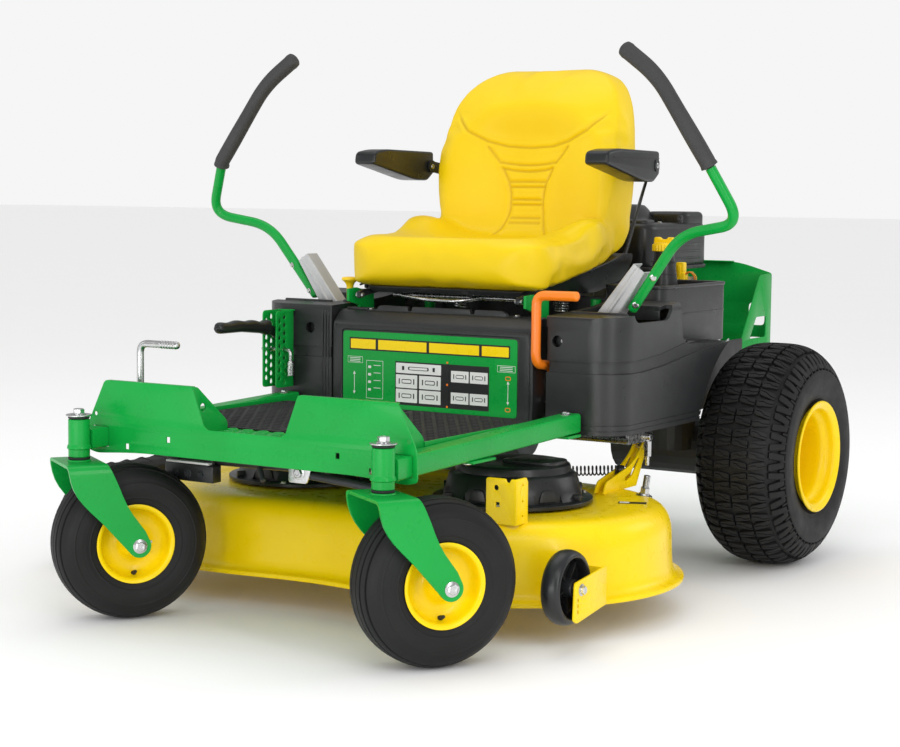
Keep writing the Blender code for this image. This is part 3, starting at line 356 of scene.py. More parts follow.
def circle(radius, sides=16):
    return [(radius * math.cos(2 * math.pi * i / sides), radius * math.sin(2 * math.pi * i / sides))
            for i in range(sides)]


def tube(points, radius, sides=16):
    return sweep(points, circle(radius, sides))


def bend(points, radius, steps=8):
    """The path through points with each inner corner replaced by a curve."""
    path = [Vector(points[0])]
    for before, corner, after in zip(points, points[1:], points[2:]):
        before, corner, after = Vector(before), Vector(corner), Vector(after)
        start = corner + (before - corner).normalized() * radius
        end = corner + (after - corner).normalized() * radius
        for i in range(steps + 1):
            t = i / steps
            path.append((1 - t) ** 2 * start + 2 * t * (1 - t) * corner + t * t * end)
    path.append(Vector(points[-1]))
    return path


def soft(points, radius, steps=4):
    """A closed outline with its corners rounded; radius is one number or one for each corner."""
    count = len(points)
    sizes = radius if isinstance(radius, (list, tuple)) else [radius] * count
    path = []
    for i in range(count):
        before, corner, after = (Vector(points[i - 1]), Vector(points[i]), Vector(points[(i + 1) % count]))
        reach = min(sizes[i], (before - corner).length * 0.45, (after - corner).length * 0.45)
        if reach <= 0:
            path.append(tuple(corner))
            continue
        start = corner + (before - corner).normalized() * reach
        end = corner + (after - corner).normalized() * reach
        for k in range(steps + 1):
            t = k / steps
            path.append(tuple((1 - t) ** 2 * start + 2 * t * (1 - t) * corner + t * t * end))
    return path


def ring(middle, radius, sides=20):
    return [(middle[0] + u, middle[1] + v) for u, v in circle(radius, sides)]


def rect(middle, width, height, round_by=0.0):
    (u, v), a, b = middle, width / 2, height / 2
    points = [(u - a, v - b), (u + a, v - b), (u + a, v + b), (u - a, v + b)]
    return soft(points, round_by, 3) if round_by else points


def arc(middle, radius, start, end, count):
    step = (end - start) / (count - 1)
    angles = [math.radians(start + step * i) for i in range(count)]
    return [(middle[0] + radius * math.cos(a), middle[1] + radius * math.sin(a)) for a in angles]


def mirrored(half):
    """A symmetric outline from its half at positive first numbers."""
    return half + [(-u, v) for u, v in reversed(half)]


def flip(points, side):
    """Outline points with their first number on the given side."""
    return [(side * p[0], *p[1:]) for p in points]


def csg(part, other, kind="DIFFERENCE"):
    step = part.modifiers.new("csg", "BOOLEAN")
    step.operation = kind
    step.solver = "EXACT"
    step.object = other
    mesh = evaluated(part)
    discard(other)
    discard(part)
    return temp(mesh)


def round_edges(obj, width, angle):
    bevel = obj.modifiers.new("edges", "BEVEL")
    bevel.width = width
    bevel.segments = 2
    bevel.limit_method = "ANGLE"
    bevel.angle_limit = math.radians(angle)
    return bevel


class Piece:
    """Parts of one visible piece, gathered in the mower's frame; its slot gives its own finish."""

    def __init__(self, name, body, slot, *nodes, place=HERE):
        self.name, self.body, self.slot, self.nodes, self.place = name, body, slot, nodes, place
        self.finish = FINISHES[slot]
        self.shape = bmesh.new()
        self.paints = []

    def add(self, part, paint=None, place=None):
        if isinstance(part, (tuple, list)):
            for each in part:
                self.add(each, paint, place)
            return
        paint = paint or self.finish
        if paint not in self.paints:
            self.paints.append(paint)
        mesh = part.data
        if place is not None:
            mesh.transform(place)
            if place.determinant() < 0:
                mesh.flip_normals()
        index = self.paints.index(paint)
        mesh.polygons.foreach_set("material_index", [index] * len(mesh.polygons))
        self.shape.from_mesh(mesh)
        discard(part)

    def done(self, edge=0.0, angle=32.0):
        mesh = bpy.data.meshes.new(self.name)
        self.shape.to_mesh(mesh)
        self.shape.free()
        mesh.transform(self.place)
        if self.place.determinant() < 0:
            mesh.flip_normals()
        for paint in self.paints:
            mesh.materials.append(paint)
        mesh.shade_smooth()
        mesh.set_sharp_from_angle(angle=math.radians(angle))
        obj = bpy.data.objects.new(self.name, mesh)
        bpy.context.scene.collection.objects.link(obj)
        if edge:
            round_edges(obj, edge, angle).harden_normals = True
        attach(obj, self.body)
        if self.nodes:
            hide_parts(*self.nodes)
        return obj


# ---------------------------------------------------------------- tyres and rims

REAR_RADIUS = 0.2306
REAR_AT = (0.4755, 0.0, REAR_RADIUS)
CASTER_RADIUS = 0.1397
CASTER_TRAIL = 0.0897
STEM_AT = (0.3246, -1.2422)
SWIVEL = math.radians(-33.2)
TREAD_ROWS = 64
TREAD_PITCH = 2 * math.pi / TREAD_ROWS
TREAD_DEPTH = 0.0075


class Skin:
    """The outer line of a tyre's half section, by its length from the crown."""

    def __init__(self, points):
        self.points = np.array(points, float)
        steps = np.linalg.norm(np.diff(self.points, axis=0), axis=1)
        self.length = np.concatenate([[0.0], np.cumsum(steps)])

    def at(self, length):
        return np.array([np.interp(length, self.length, self.points[:, i]) for i in (0, 1)])

    def out(self, length):
        step = 0.002
        along = self.at(length + step) - self.at(max(length - step, 0.0))
        across = np.array([-along[1], along[0]])
        return across / np.linalg.norm(across)

    def reach(self, height):
        """Length at which the line comes this far across."""
        rising = int(np.argmax(self.points[:, 0])) + 1
        return float(np.interp(height, self.points[:rising, 0], self.length[:rising]))


def crown(radius, drop, edge, power, steps=14):
    return [(edge * i / steps, radius - drop * (i / steps) ** power) for i in range(steps + 1)]


REAR_SIDE = [(0.0908, 0.193), (0.0945, 0.1862), (0.0972, 0.1795), (0.099, 0.172), (0.0998, 0.164),
             (0.0996, 0.155), (0.0984, 0.145), (0.0962, 0.135), (0.093, 0.125), (0.0893, 0.117),
             (0.0862, 0.11), (0.0845, 0.103)]
REAR_SKIN = Skin(crown(REAR_RADIUS, 0.03, 0.086, 3.4) + REAR_SIDE)


def tread_block(skin, side, middle, half, start, end, slant, steps, sipe):
    """One raised block: a strip along the section between two lengths from the crown."""
    verts, faces = [], []
    centre = (start + end) / 2
    for i in range(steps + 1):
        t = i / steps
        length = start + (end - start) * t
        pinch = 0.78 if i in (0, steps) else 1.0
        tilt = slant * (length - centre) / REAR_RADIUS
        h, r = skin.at(abs(length)) * (1 if length >= 0 else -1, 1)
        u, v = skin.out(abs(length)) * (1 if length >= 0 else -1, 1)
        wave = -0.3 if t < 0.45 else 0.3 if t > 0.55 else 0.0
        notch = sipe if 0.1 < t < 0.9 else 0.0
        low, high, rim = -half * pinch, half * pinch, 0.0011 / REAR_RADIUS
        groove, slit = wave * half, 0.001 / REAR_RADIUS
        row = [(low - rim * 0.6, TREAD_DEPTH), (low, 0.001), (low + rim, 0.0), (groove - slit, 0.0),
               (groove - slit, notch), (groove + slit, notch), (groove + slit, 0.0), (high - rim, 0.0),
               (high, 0.001), (high + rim * 0.6, TREAD_DEPTH)]
        for angle, depth in row:
            a = middle + tilt + angle
            radius = r - v * depth
            verts.append((radius * math.cos(a), radius * math.sin(a), side * (h - u * depth)))
    count = 10
    for i in range(steps):
        for k in range(count - 1):
            a, b = i * count + k, (i + 1) * count + k
            faces.append((a, a + 1, b + 1, b))
    for base in (0, steps * count):
        faces.append(tuple(base + k for k in (0, 1, 2, 7, 8, 9)))
        faces.append(tuple(base + k for k in (2, 3, 6, 7)))
        faces.append(tuple(base + k for k in (3, 4, 5, 6)))
    return verts, faces


def make_tread():
    """All blocks of a turf tyre: three middle columns and two shoulders with side lugs."""
    verts, faces = [], []
    width, shoulder = 0.0325, REAR_SKIN.reach(0.0752)
    foot = REAR_SKIN.reach(0.0958)
    for row in range(TREAD_ROWS):
        middle = row * TREAD_PITCH
        pair = 1 if row % 2 else -1
        blocks = []
        for column in range(4):
            at = (column - 1.5) * 0.0368
            lean = 0.17 * pair * (1 if column % 2 else -1)
            turn = middle + 0.0009 * pair / REAR_RADIUS
            blocks.append((1, turn, 0.0077, at - width / 2, at + width / 2, lean, 8, 0.003))
        for side in (1, -1):
            lean = 0.14 * pair
            blocks.append((side, middle, 0.0077, shoulder, foot, lean, 10, 0.0))
            verge = (side, middle + TREAD_PITCH / 2, 0.003, foot - 0.01, foot + 0.006, 0.0, 4, 0.0)
            blocks.append(verge)
        for side, spot_at, half, start, end, lean, steps, sipe in blocks:
            block_verts, block_faces = tread_block(REAR_SKIN, side, spot_at, half / REAR_RADIUS, start, end,
                lean, steps, sipe)
            base = len(verts)
            verts.extend(block_verts)
            faces.extend(tuple(base + k for k in face) for face in block_faces)
    part = raw(verts, faces)
    tidy(part.data)
    return part


def carcass(skin, depth, foot, ridges):
    """The tyre's section under its tread, with rings moulded on its sides."""
    half = []
    for length in np.linspace(0.0, skin.length[-1], 64):
        h, r = skin.at(length)
        u, v = skin.out(length)
        sink = depth if length < foot else 0.0
        for ring_at, width, rise in ridges:
            if abs(r - ring_at) < width:
                sink = -rise
        half.append((r - v * sink, h - u * sink))
    outer = [(r, -h) for r, h in reversed(half[1:])] + half
    inner = [(half[-1][0] - 0.0015, half[-1][1] - 0.004), (half[-1][0] - 0.0015, 0.004 - half[-1][1])]
    return outer + inner


def wheel_place(side):
    x, y, z = REAR_AT
    return HERE @ moved(side * x, y, z) @ turned(side * QUARTER, "Y")


def make_rear_wheel(side, word):
    place = wheel_place(side)
    tyre = Piece("rear_tyre_skin_" + word, "rear_wheel_" + word, "tyre", "rear_tyre_" + word, place=place)
    foot = REAR_SKIN.reach(0.0968)
    section = carcass(REAR_SKIN, TREAD_DEPTH - 0.0004, foot, ((0.176, 0.0012, 0.0006), (0.13, 0.001, 0.0006),
                      (0.1215, 0.0016, 0.0009)))
    tyre.add(lathe(section, TREAD_ROWS * 2))
    tyre.add(make_tread())
    tyre.done(angle=28)
    rim = Piece("rear_rim_skin_" + word, "rear_wheel_" + word, "yellow", "rear_rim_" + word, place=place)
    front = [(0.1, 0.09), (0.103, 0.093), (0.108, 0.094), (0.1125, 0.0948), (0.1148, 0.0965),
             (0.1154, 0.0985), (0.1146, 0.1003), (0.1125, 0.101), (0.1098, 0.1002), (0.1068, 0.0985),
             (0.1035, 0.0972), (0.1005, 0.096), (0.0985, 0.0935), (0.0976, 0.089), (0.0974, 0.083),
             (0.096, 0.078), (0.0925, 0.074), (0.089, 0.071), (0.0872, 0.066), (0.0866, 0.058),
             (0.0866, 0.01), (0.09, 0.003), (0.091, -0.006), (0.089, -0.014), (0.084, -0.019),
             (0.074, -0.024), (0.066, -0.031), (0.06, -0.035), (0.05, -0.036), (0.04, -0.034),
             (0.033, -0.03), (0.029, -0.029), (0.029, -0.0235), (0.018, -0.023), (0.0128, -0.023)]
    rear = [(0.0128, -0.052), (0.03, -0.052), (0.034, -0.04), (0.062, -0.04), (0.078, -0.029),
            (0.089, -0.025), (0.087, -0.06), (0.0872, -0.074), (0.093, -0.08), (0.096, -0.085),
            (0.0975, -0.0935), (0.1035, -0.0975), (0.11, -0.1005), (0.113, -0.101), (0.1152, -0.0998),
            (0.1152, -0.0965), (0.111, -0.0945), (0.103, -0.093), (0.1002, -0.09)]
    rim.add(lathe(front + rear, 72))
    for u, v in arc((0, 0), 0.05, 45, 315, 4):
        rim.add(bolt((u, v, -0.0358), UP, 0.0085), ZINC)
    rim.add(lathe([(0.013, -0.0228), (0.023, -0.0228), (0.024, -0.0215), (0.024, -0.02), (0.023, -0.019),
                   (0.013, -0.019)], 32), ZINC)
    valve = aim((0.0855, 0.0, 0.03), (-0.9, 0.0, 0.45))
    rim.add(lathe([(0, 0), (0.006, 0.0), (0.005, 0.007), (0.0038, 0.009), (0.0038, 0.026), (0.003, 0.0275),
                   (0, 0.0275)], 16, False, valve), RUBBER)
    rim.done()


CASTER_SKIN = Skin(crown(CASTER_RADIUS, 0.0165, 0.043, 3.0) + [(0.046, 0.1185), (0.0482, 0.113),
                   (0.0495, 0.106), (0.05, 0.0985), (0.0496, 0.0915), (0.0484, 0.085), (0.0468, 0.079),
                   (0.045, 0.0735), (0.0432, 0.069), (0.0425, 0.0655)])


def ribbed_section():
    """A ribbed tyre's section, with two deep grooves on each side of the middle rib."""
    half = []
    for length in np.linspace(0.0, CASTER_SKIN.length[-1], 110):
        h, r = CASTER_SKIN.at(length)
        u, v = CASTER_SKIN.out(length)
        sink = 0.0
        for groove in (0.0085, 0.0205, 0.0325):
            away = abs(h - groove)
            if away < 0.0013 and r > 0.115:
                sink = 0.0032 * (1 - (away / 0.0013) ** 4)
        for ridge in (0.083, 0.1105):
            away = abs(r - ridge)
            if away < 0.0016:
                sink = -0.0009 * (1 - (away / 0.0016) ** 2)
        half.append((r - v * sink, h - u * sink))
    outer = [(r, -h) for r, h in reversed(half[1:])] + half
    return outer + [(0.0643, 0.04), (0.0643, -0.04)]


def caster_place(side, wheel=False):
    x, y = STEM_AT
    place = HERE @ moved(side * x, y, 0) @ turned(SWIVEL)
    if wheel:
        place = place @ moved(0, CASTER_TRAIL, CASTER_RADIUS) @ turned(QUARTER, "Y")
    return place


def make_caster_wheel(side, word):
    place, body = caster_place(side, True), "caster_wheel_" + word
    tyre = Piece("caster_tyre_skin_" + word, body, "tyre", "caster_tyre_" + word, place=place)
    tyre.add(lathe(ribbed_section(), 84))
    tyre.done(angle=30)
    rim = Piece("caster_rim_skin_" + word, body, "yellow", "caster_rim_" + word, place=place)
    half = [(0.0636, 0.04), (0.065, 0.0432), (0.0672, 0.0445), (0.07, 0.0452), (0.0711, 0.0462),
            (0.0708, 0.0473), (0.0696, 0.0475), (0.0668, 0.0468), (0.064, 0.0452), (0.0622, 0.043),
            (0.0612, 0.0395), (0.0602, 0.034), (0.058, 0.029), (0.0545, 0.025), (0.05, 0.0225),
            (0.044, 0.021), (0.038, 0.0208), (0.033, 0.0222), (0.029, 0.025), (0.0262, 0.029),
            (0.025, 0.034), (0.023, 0.04), (0.021, 0.044), (0.0205, 0.056), (0.0195, 0.058), (0.0068, 0.058)]
    rim.add(lathe(half + [(r, -h) for r, h in reversed(half)], 64))
    for end in (1, -1):
        seal = [(0.0069, end * 0.0575), (0.0172, end * 0.0575), (0.0172, end * 0.0592), (0.015, end * 0.06),
                (0.0069, end * 0.06)]
        rim.add(lathe(seal, 32), SMOOTH)
    rim.add(rod((0.0, 0.018, 0.03), (0.0, 0.033, 0.0345), 0.003, 12), ZINC)
    valve = aim((0.0555, 0.0, 0.0262), (-0.35, 0.0, 1.0))
    rim.add(lathe([(0, -0.002), (0.0045, -0.002), (0.004, 0.006), (0.003, 0.007), (0.003, 0.015),
                   (0.0022, 0.016), (0, 0.016)], 14, False, valve), RUBBER)
    rim.done()


# ---------------------------------------------------------------- caster forks

FORK_TOP = 0.2874
FORK_OUTER = 0.072
FORK_INNER = 0.066


def fork_outline():
    """A leg swept back from the top plate to a round end at the axle."""
    end = arc((CASTER_TRAIL, CASTER_RADIUS), 0.0205, 215, 385, 14)
    front = [(-0.037, FORK_TOP), (-0.0352, 0.274), (-0.0325, 0.26), (-0.028, 0.246), (-0.0205, 0.232),
             (-0.01, 0.218), (0.003, 0.204), (0.026, 0.181)]
    rear = [(0.1, 0.166), (0.0905, 0.179), (0.078, 0.196), (0.068, 0.2125), (0.06, 0.23), (0.053, 0.248),
            (0.0455, 0.265), (0.035, FORK_TOP)]
    return front + end + rear


def arch(half_width, top, low, corner):
    points = [(-half_width, low), (half_width, low), (half_width, top), (-half_width, top)]
    return soft(points, [0, 0, corner, corner], 8)


def make_fork(side, word):
    place = caster_place(side)
    fork = Piece("fork_" + word, "caster_" + word, "green", "caster_fork_" + word, place=place)
    strap = plate(fork_outline(), 2 * FORK_OUTER, "YZ")
    strap = csg(strap, plate(arch(FORK_OUTER, FORK_TOP, 0.05, 0.016), 0.6, "XZ"), "INTERSECT")
    strap = csg(strap, plate(arch(FORK_INNER, FORK_TOP - 0.006, 0.02, 0.011), 0.7, "XZ"))
    fork.add(strap)
    fork.add(rod((0, 0, FORK_TOP - 0.003), (0, 0, 0.3628), 0.0125))
    fork.add(lathe([(0.0126, FORK_TOP), (0.0215, FORK_TOP), (0.02, FORK_TOP + 0.0026),
                    (0.0126, FORK_TOP + 0.003)], 36))
    fork.add(lathe([(0.0127, FORK_TOP + 0.0031), (0.0188, FORK_TOP + 0.0031), (0.0196, 0.2925),
                    (0.019, 0.2947), (0.0127, 0.2947)], 36), RUBBER)
    fork.done(edge=0.001)
    cap = Piece("stem_cap_" + word, "caster_" + word, "zinc", "caster_cap_" + word, place=place)
    cap.add(lathe([(0, 0.3633), (0.0185, 0.3633), (0.0192, 0.365), (0.0188, 0.3672), (0, 0.3672)], 36,
                  False), RUBBER)
    cap.add(lathe([(0, 0.3673), (0.0222, 0.3673), (0.023, 0.3681), (0.023, 0.3694), (0.0222, 0.3702),
                   (0, 0.3702)], 36, False))
    cap.add(bolt((0, 0, 0.3703), UP, 0.01, 1.25, 0.85))
    cap.done()
    axle = Piece("caster_bolt_" + word, "caster_" + word, "zinc", "caster_axle_" + word, place=place)
    at = (0.0, CASTER_TRAIL, CASTER_RADIUS)
    axle.add(rod((-0.074, *at[1:]), (0.074, *at[1:]), 0.0064))
    for end in (1, -1):
        axle.add(bolt((end * 0.0721, *at[1:]), (end, 0, 0), 0.0095, 1.35, 0.5, 0.3))
    axle.done()


for each_side, each_word in SIDES:
    make_rear_wheel(each_side, each_word)
    make_caster_wheel(each_side, each_word)
    make_fork(each_side, each_word)


# ---------------------------------------------------------------- front frame and foot deck

RAIL_FRONT = (-1.2422, 0.3244)
RAIL_REAR = (-0.6155, 0.342)
PANEL_Y = -1.185
PAN_TOP = 0.344
SHEET = 0.003


def rail_z(y):
    along = (y - RAIL_FRONT[0]) / (RAIL_REAR[0] - RAIL_FRONT[0])
    return RAIL_FRONT[1] + along * (RAIL_REAR[1] - RAIL_FRONT[1])


def make_rail(side, word):
    """A square tube with rounded corners, welded to the upright tube of a caster."""
    x = side * STEM_AT[0]
    rail = Piece("rail_" + word, "chassis", "green", "front_rail_" + word)
    section = rect((0, 0), 0.038, 0.036, 0.0055)
    path = [(x, y, rail_z(y)) for y in (-1.227, RAIL_REAR[0])]
    rail.add(csg(sweep(path, section, up=UP), sweep([(x, -0.8, rail_z(-0.8)), (x, -0.6, rail_z(-0.6))],
                 rect((0, 0), 0.033, 0.031, 0.004), up=UP)))
    stem = [(0.0136, 0.295), (0.018, 0.295), (0.019, 0.296), (0.019, 0.361), (0.018, 0.362), (0.0136, 0.362)]
    place = moved(x, STEM_AT[1], 0)
    rail.add(lathe(stem, 40, True, place))
    weld = [(0.0185, 0.308), (0.0215, 0.31), (0.0205, 0.315), (0.0185, 0.318)]
    rail.add(lathe(weld, 40, True, place))
    for y, down in ((-0.64, 1), (-0.64, -1), (-0.985, -1), (-0.95, -1)):
        z = rail_z(y) + down * 0.0175
        if down < 0 and y < -0.9:
            z -= 0.0035
        rail.add(bolt((x, y, z), (0, 0, down), 0.0075, 1.4, 0.6, 0.2), ZINC)
    strap = block((x - 0.015, -1.005, rail_z(-0.98) - 0.0225), (x + side * 0.024, -0.93,
                  rail_z(-0.98) - 0.0178), 0.001)
    rail.add(strap)
    rail.done(edge=0.0006)


def panel_outline():
    half = [(0.079, 0.354), (0.088, 0.36), (0.112, 0.423), (0.1165, 0.4275), (0.311, 0.4275), (0.316, 0.424),
            (0.35, 0.356), (0.3535, 0.343), (0.3535, 0.3), (0.333, 0.295), (0.24, 0.302)]
    size = [0.006, 0.01, 0.004, 0.005, 0.006, 0.006, 0.012, 0.01, 0.006, 0.01, 0.06]
    return soft(mirrored(half), size + size[::-1], 5)


def make_foot_deck():
    """Front panel with its bent edges, gussets and floor pan."""
    deck = Piece("foot_deck_panels", "chassis", "green", "foot_deck")
    holes = []
    for x, z in ((-0.2624, 0.3116), (0.2624, 0.3116), (-0.1677, 0.3305), (0.1954, 0.3318)):
        holes.append(rect((x, z), 0.008, 0.01))
    for side in (1, -1):
        holes += [rect((side * STEM_AT[0], rail_z(PANEL_Y)), 0.0386, 0.0366, 0.004)]
        holes += [ring((side * 0.336, 0.366), 0.0038, 16)]
    deck.add(plate(panel_outline(), SHEET, "XZ", PANEL_Y, holes, 0.0007))
    deck.add(block((-0.305, PANEL_Y, PAN_TOP - 0.004), (0.305, -0.668, PAN_TOP), SHEET_EDGE))
    gusset = soft([(PANEL_Y, 0.4262), (PANEL_Y + 0.012, 0.4262), (PANEL_Y + 0.095, 0.36),
                   (PANEL_Y + 0.095, PAN_TOP - 0.002), (PANEL_Y, PAN_TOP - 0.002)], [0, 0.004, 0.012, 0, 0],
                  4)
    for side in (1, -1):
        for x in (0.1135, 0.302):
            deck.add(plate(gusset, SHEET, "YZ", side * x, [ring((-1.158, 0.389), 0.0075, 20)], 0.0007))
        deck.add(block((side * 0.116, PANEL_Y, 0.4246), (side * 0.311, PANEL_Y + 0.011, 0.4274), 0.0011))
        rim = [(side * 0.3035, y, PAN_TOP + 0.005) for y in (-1.09, -0.668)]
        deck.add(sweep(rim, rect((0, 0), 0.003, 0.01, 0.001), up=UP))
        for y in (-1.02, -0.86, -0.7):
            deck.add(bolt((side * 0.3125, y, PAN_TOP - 0.001), UP, 0.0065, 1.5, 0.5, 0.4), ZINC)
        deck.add(block((side * 0.3, -0.99, PAN_TOP - 0.006), (side * 0.322, -0.69, PAN_TOP - 0.001), 0.0006))
    for row, y in enumerate((-1.162, -1.131, -1.1)):
        for k in range(6):
            x = (k - 2.5) * 0.034 + (0.008 if row % 2 else -0.008)
            crest = [(0.006, 0.0), (0.007, 0.0034), (0.0088, 0.0042), (0.0112, 0.0024), (0.0125, 0)]
            place = moved(x, y, PAN_TOP - 0.0001)
            deck.add(lathe(crest, 14, True, place))
            deck.add(lathe([(0, -0.0001), (0.0061, -0.0001), (0.0061, 0.0004), (0, 0.0004)], 14, False,
                           place), DARK_AND_SHADE)
    deck.done()


def make_mats():
    """Two tread mats whose tops are covered with raised lozenges."""
    mats = Piece("foot_mats", "chassis", "rubber", "foot_mat")
    for side in (1, -1):
        low, high = sorted((side * 0.004, side * 0.298))
        mats.add(block((low, -1.08, PAN_TOP + 0.0003), (high, -0.67, PAN_TOP + 0.0035), 0.001))
        verts, faces = [], []
        for row in range(21):
            for column in range(11):
                shift = 0.5 if row % 2 else 0.0
                x = low + 0.022 + (column + shift) * 0.025
                y = -1.064 + row * 0.0188
                if x > high - 0.012:
                    continue
                base = len(verts)
                for scale, z in ((1.0, 0.003), (0.72, 0.0055)):
                    for u, v in ((-0.0105, 0), (0, -0.0062), (0.0105, 0), (0, 0.0062)):
                        verts.append((x + u * scale, y + v * scale, PAN_TOP + z))
                faces += [tuple(base + k for k in face) for face in ((0, 1, 5, 4), (1, 2, 6, 5),
                          (2, 3, 7, 6), (3, 0, 4, 7), (4, 5, 6, 7))]
        mats.add(raw(verts, faces))
    mats.done()


def make_front_linkage():
    """The black deck linkage that hangs under the foot deck, with its zinc fasteners."""
    link = Piece("front_linkage", "chassis", "plastic")
    link.add(rod((-0.2, -1.06, 0.296), (0.215, -1.06, 0.296), 0.0085), CASTING)
    for side in (1, -1):
        x = side * 0.205
        arm = soft([(-1.12, 0.288), (-1.12, 0.306), (-1.06, 0.318), (-0.93, 0.314), (-0.93, 0.296),
                    (-1.05, 0.282)], 0.008, 4)
        slot = rect((-0.985, 0.304), 0.06, 0.007, 0.003)
        link.add(plate(arm, 0.004, "YZ", x, [slot], 0.0005), CASTING)
        link.add(plate(arm, 0.004, "YZ", x - side * 0.02, [slot], 0.0005), CASTING)
        for y, z in ((-1.108, 0.297), (-1.06, 0.3)):
            link.add(bolt((x + side * 0.002, y, z), (side, 0, 0), 0.007, 1.4, 0.6), ZINC)
        link.add(block((x - side * 0.004, -1.075, 0.3), (x - side * 0.016, -1.045, 0.3395), 0.001), CASTING)
    clip = soft([(0.01, 0.258), (0.05, 0.258), (0.058, 0.278), (0.052, 0.34), (0.014, 0.34)], 0.005, 3)
    link.add(plate(clip, 0.004, "XZ", -1.072, [ring((0.034, 0.276), 0.003)], 0.0005), ZINC)
    link.add(bolt((0.034, -1.074, 0.276), FORWARD, 0.0085, 1.4, 0.6), ZINC)
    link.add(rod((0.05, -1.064, 0.272), (0.19, -1.064, 0.262), 0.0075, 18), CASTING)
    link.add(block((-0.262, -1.085, 0.242), (-0.15, -1.06, 0.274), 0.0025))
    # Pale cap over the black block's top face: a painted highlight.
    link.add(block((-0.258, -1.087, 0.2745), (-0.158, -1.061, 0.2785), 0.001), PALE_AND_HIGHLIGHT)
    for x in (-0.238, -0.208, -0.176):
        link.add(bolt((x, -1.085, 0.256), FORWARD, 0.0062, 1.4, 0.6), CASTING)
    link.add(rod((-0.27, -1.06, 0.28), (0.02, -1.06, 0.284), 0.0095, 20))
    link.add(rod((-0.06, -1.066, 0.278), (-0.04, -1.08, 0.256), 0.005, 14), CASTING)
    for x in (-0.245, -0.165):
        link.add(block((x - 0.01, -1.078, 0.27), (x + 0.01, -1.07, 0.3395), 0.001), CASTING)
    link.add(rod((-0.15, -1.095, 0.306), (0.02, -1.095, 0.306), 0.006), ZINC)
    for x in (-0.15, -0.06, 0.02):
        link.add(block((x - 0.008, -1.105, 0.3), (x + 0.008, -1.082, 0.3395), 0.001), CASTING)
        link.add(bolt((x, -1.105, 0.311), FORWARD, 0.006, 1.4, 0.6), ZINC)
    link.done(edge=0.0005)


for each_side, each_word in SIDES:
    make_rail(each_side, each_word)
make_foot_deck()
make_mats()
make_front_linkage()


# ---------------------------------------------------------------- console and fender pods

BODY_FRONT = -0.607
WALL = 0.004
POD_OUTER = 0.415
ARCH_RADIUS = 0.262
CONSOLE = (-0.2285, 0.2345)
POD_INNER = {LEFT: 0.262, RIGHT: 0.232}
WHEEL_TOP = REAR_AT[2]


def label(piece, middle, size, paint, lift, rounding=0.0015):
    """A thin flat patch on the console's front face, lifted clear of what is under it."""
    piece.add(plate(rect(middle, *size, rounding), 0.0003, "XZ", BODY_FRONT - 0.0012 - lift), paint)


def add_chart(piece):
    """The instruction panel: green ground, a plain stripe, and a chart of symbols without words."""
    piece.add(plate(rect((0.0, 0.415), 0.4028, 0.15, 0.007), 0.0016, "XZ", BODY_FRONT - 0.0006), GREEN)
    label(piece, (0.0, 0.465), (0.372, 0.025), DARK_AND_SHADE, 0.0001)
    label(piece, (0.0, 0.465), (0.366, 0.019), YELLOW, 0.0003)
    for x in (-0.12, 0.0, 0.12):
        label(piece, (x, 0.465), (0.006, 0.019), DARK_AND_SHADE, 0.0005, 0.0)
    label(piece, (0.032, 0.392), (0.216, 0.086), DARK_AND_SHADE, 0.0001)
    for x, z, w, h in ((-0.0215, 0.422, 0.105, 0.02), (-0.049, 0.396, 0.05, 0.026),
                       (0.0055, 0.396, 0.05, 0.026), (-0.049, 0.3675, 0.05, 0.026),
                       (0.0055, 0.3675, 0.05, 0.026), (0.074, 0.412, 0.04, 0.022),
                       (0.117, 0.412, 0.04, 0.022), (0.074, 0.37, 0.04, 0.022), (0.117, 0.37, 0.04, 0.022)):
        label(piece, (x, z), (w, h), PALE_AND_HIGHLIGHT, 0.0003, 0.001)
        label(piece, (x, z), (w * 0.46, h * 0.34), DARK_AND_SHADE, 0.0005, 0.003)
        label(piece, (x, z), (w * 0.4, h * 0.22), PALE_AND_HIGHLIGHT, 0.0007, 0.002)
        for end in (-1, 1):
            label(piece, (x + end * w * 0.34, z), (w * 0.05, h * 0.4), DARK_AND_SHADE, 0.0005, 0.0)
    label(piece, (0.0455, 0.392), (0.007, 0.08), DARK_AND_SHADE, 0.0005, 0.0)
    for z in (0.438, 0.395, 0.352):
        label(piece, (0.0455, z), (0.004, 0.004), ORANGE, 0.0007, 0.001)
    label(piece, (-0.125, 0.395), (0.04, 0.076), PALE_AND_HIGHLIGHT, 0.0001)
    label(piece, (-0.125, 0.395), (0.0384, 0.0744), GREEN, 0.0003)
    for i in range(4):
        label(piece, (-0.137, 0.42 - i * 0.015), (0.007, 0.005), PALE_AND_HIGHLIGHT, 0.0005)
        label(piece, (-0.119, 0.4235 - i * 0.015), (0.016, 0.0012), PALE_AND_HIGHLIGHT, 0.0005, 0.0)
    for x, z, w, h in ((-0.172, 0.433, 0.036, 0.013), (0.178, 0.433, 0.04, 0.013)):
        label(piece, (x, z), (w, h), PALE_AND_HIGHLIGHT, 0.0001)
        label(piece, (x, z), (w - 0.0014, h - 0.0014), GREEN, 0.0003)
        for k in (-1, 0, 1):
            label(piece, (x, z + k * 0.0034), (w * 0.7, 0.0012), PALE_AND_HIGHLIGHT, 0.0005, 0.0)
    for x in (-0.174, 0.182):
        label(piece, (x, 0.387), (0.0013, 0.038), PALE_AND_HIGHLIGHT, 0.0001, 0.0)
        for z, turn in ((0.407, 1), (0.367, -1)):
            tip = [(x - 0.003, z - turn * 0.003), (x + 0.003, z - turn * 0.003), (x, z + turn * 0.003)]
            piece.add(plate(tip, 0.0003, "XZ", BODY_FRONT - 0.0015), PALE_AND_HIGHLIGHT)
    for z in (0.415, 0.355):
        label(piece, (0.182, z), (0.012, 0.008), ORANGE, 0.0001, 0.003)
        label(piece, (0.182, z), (0.009, 0.005), GREEN, 0.0003, 0.002)


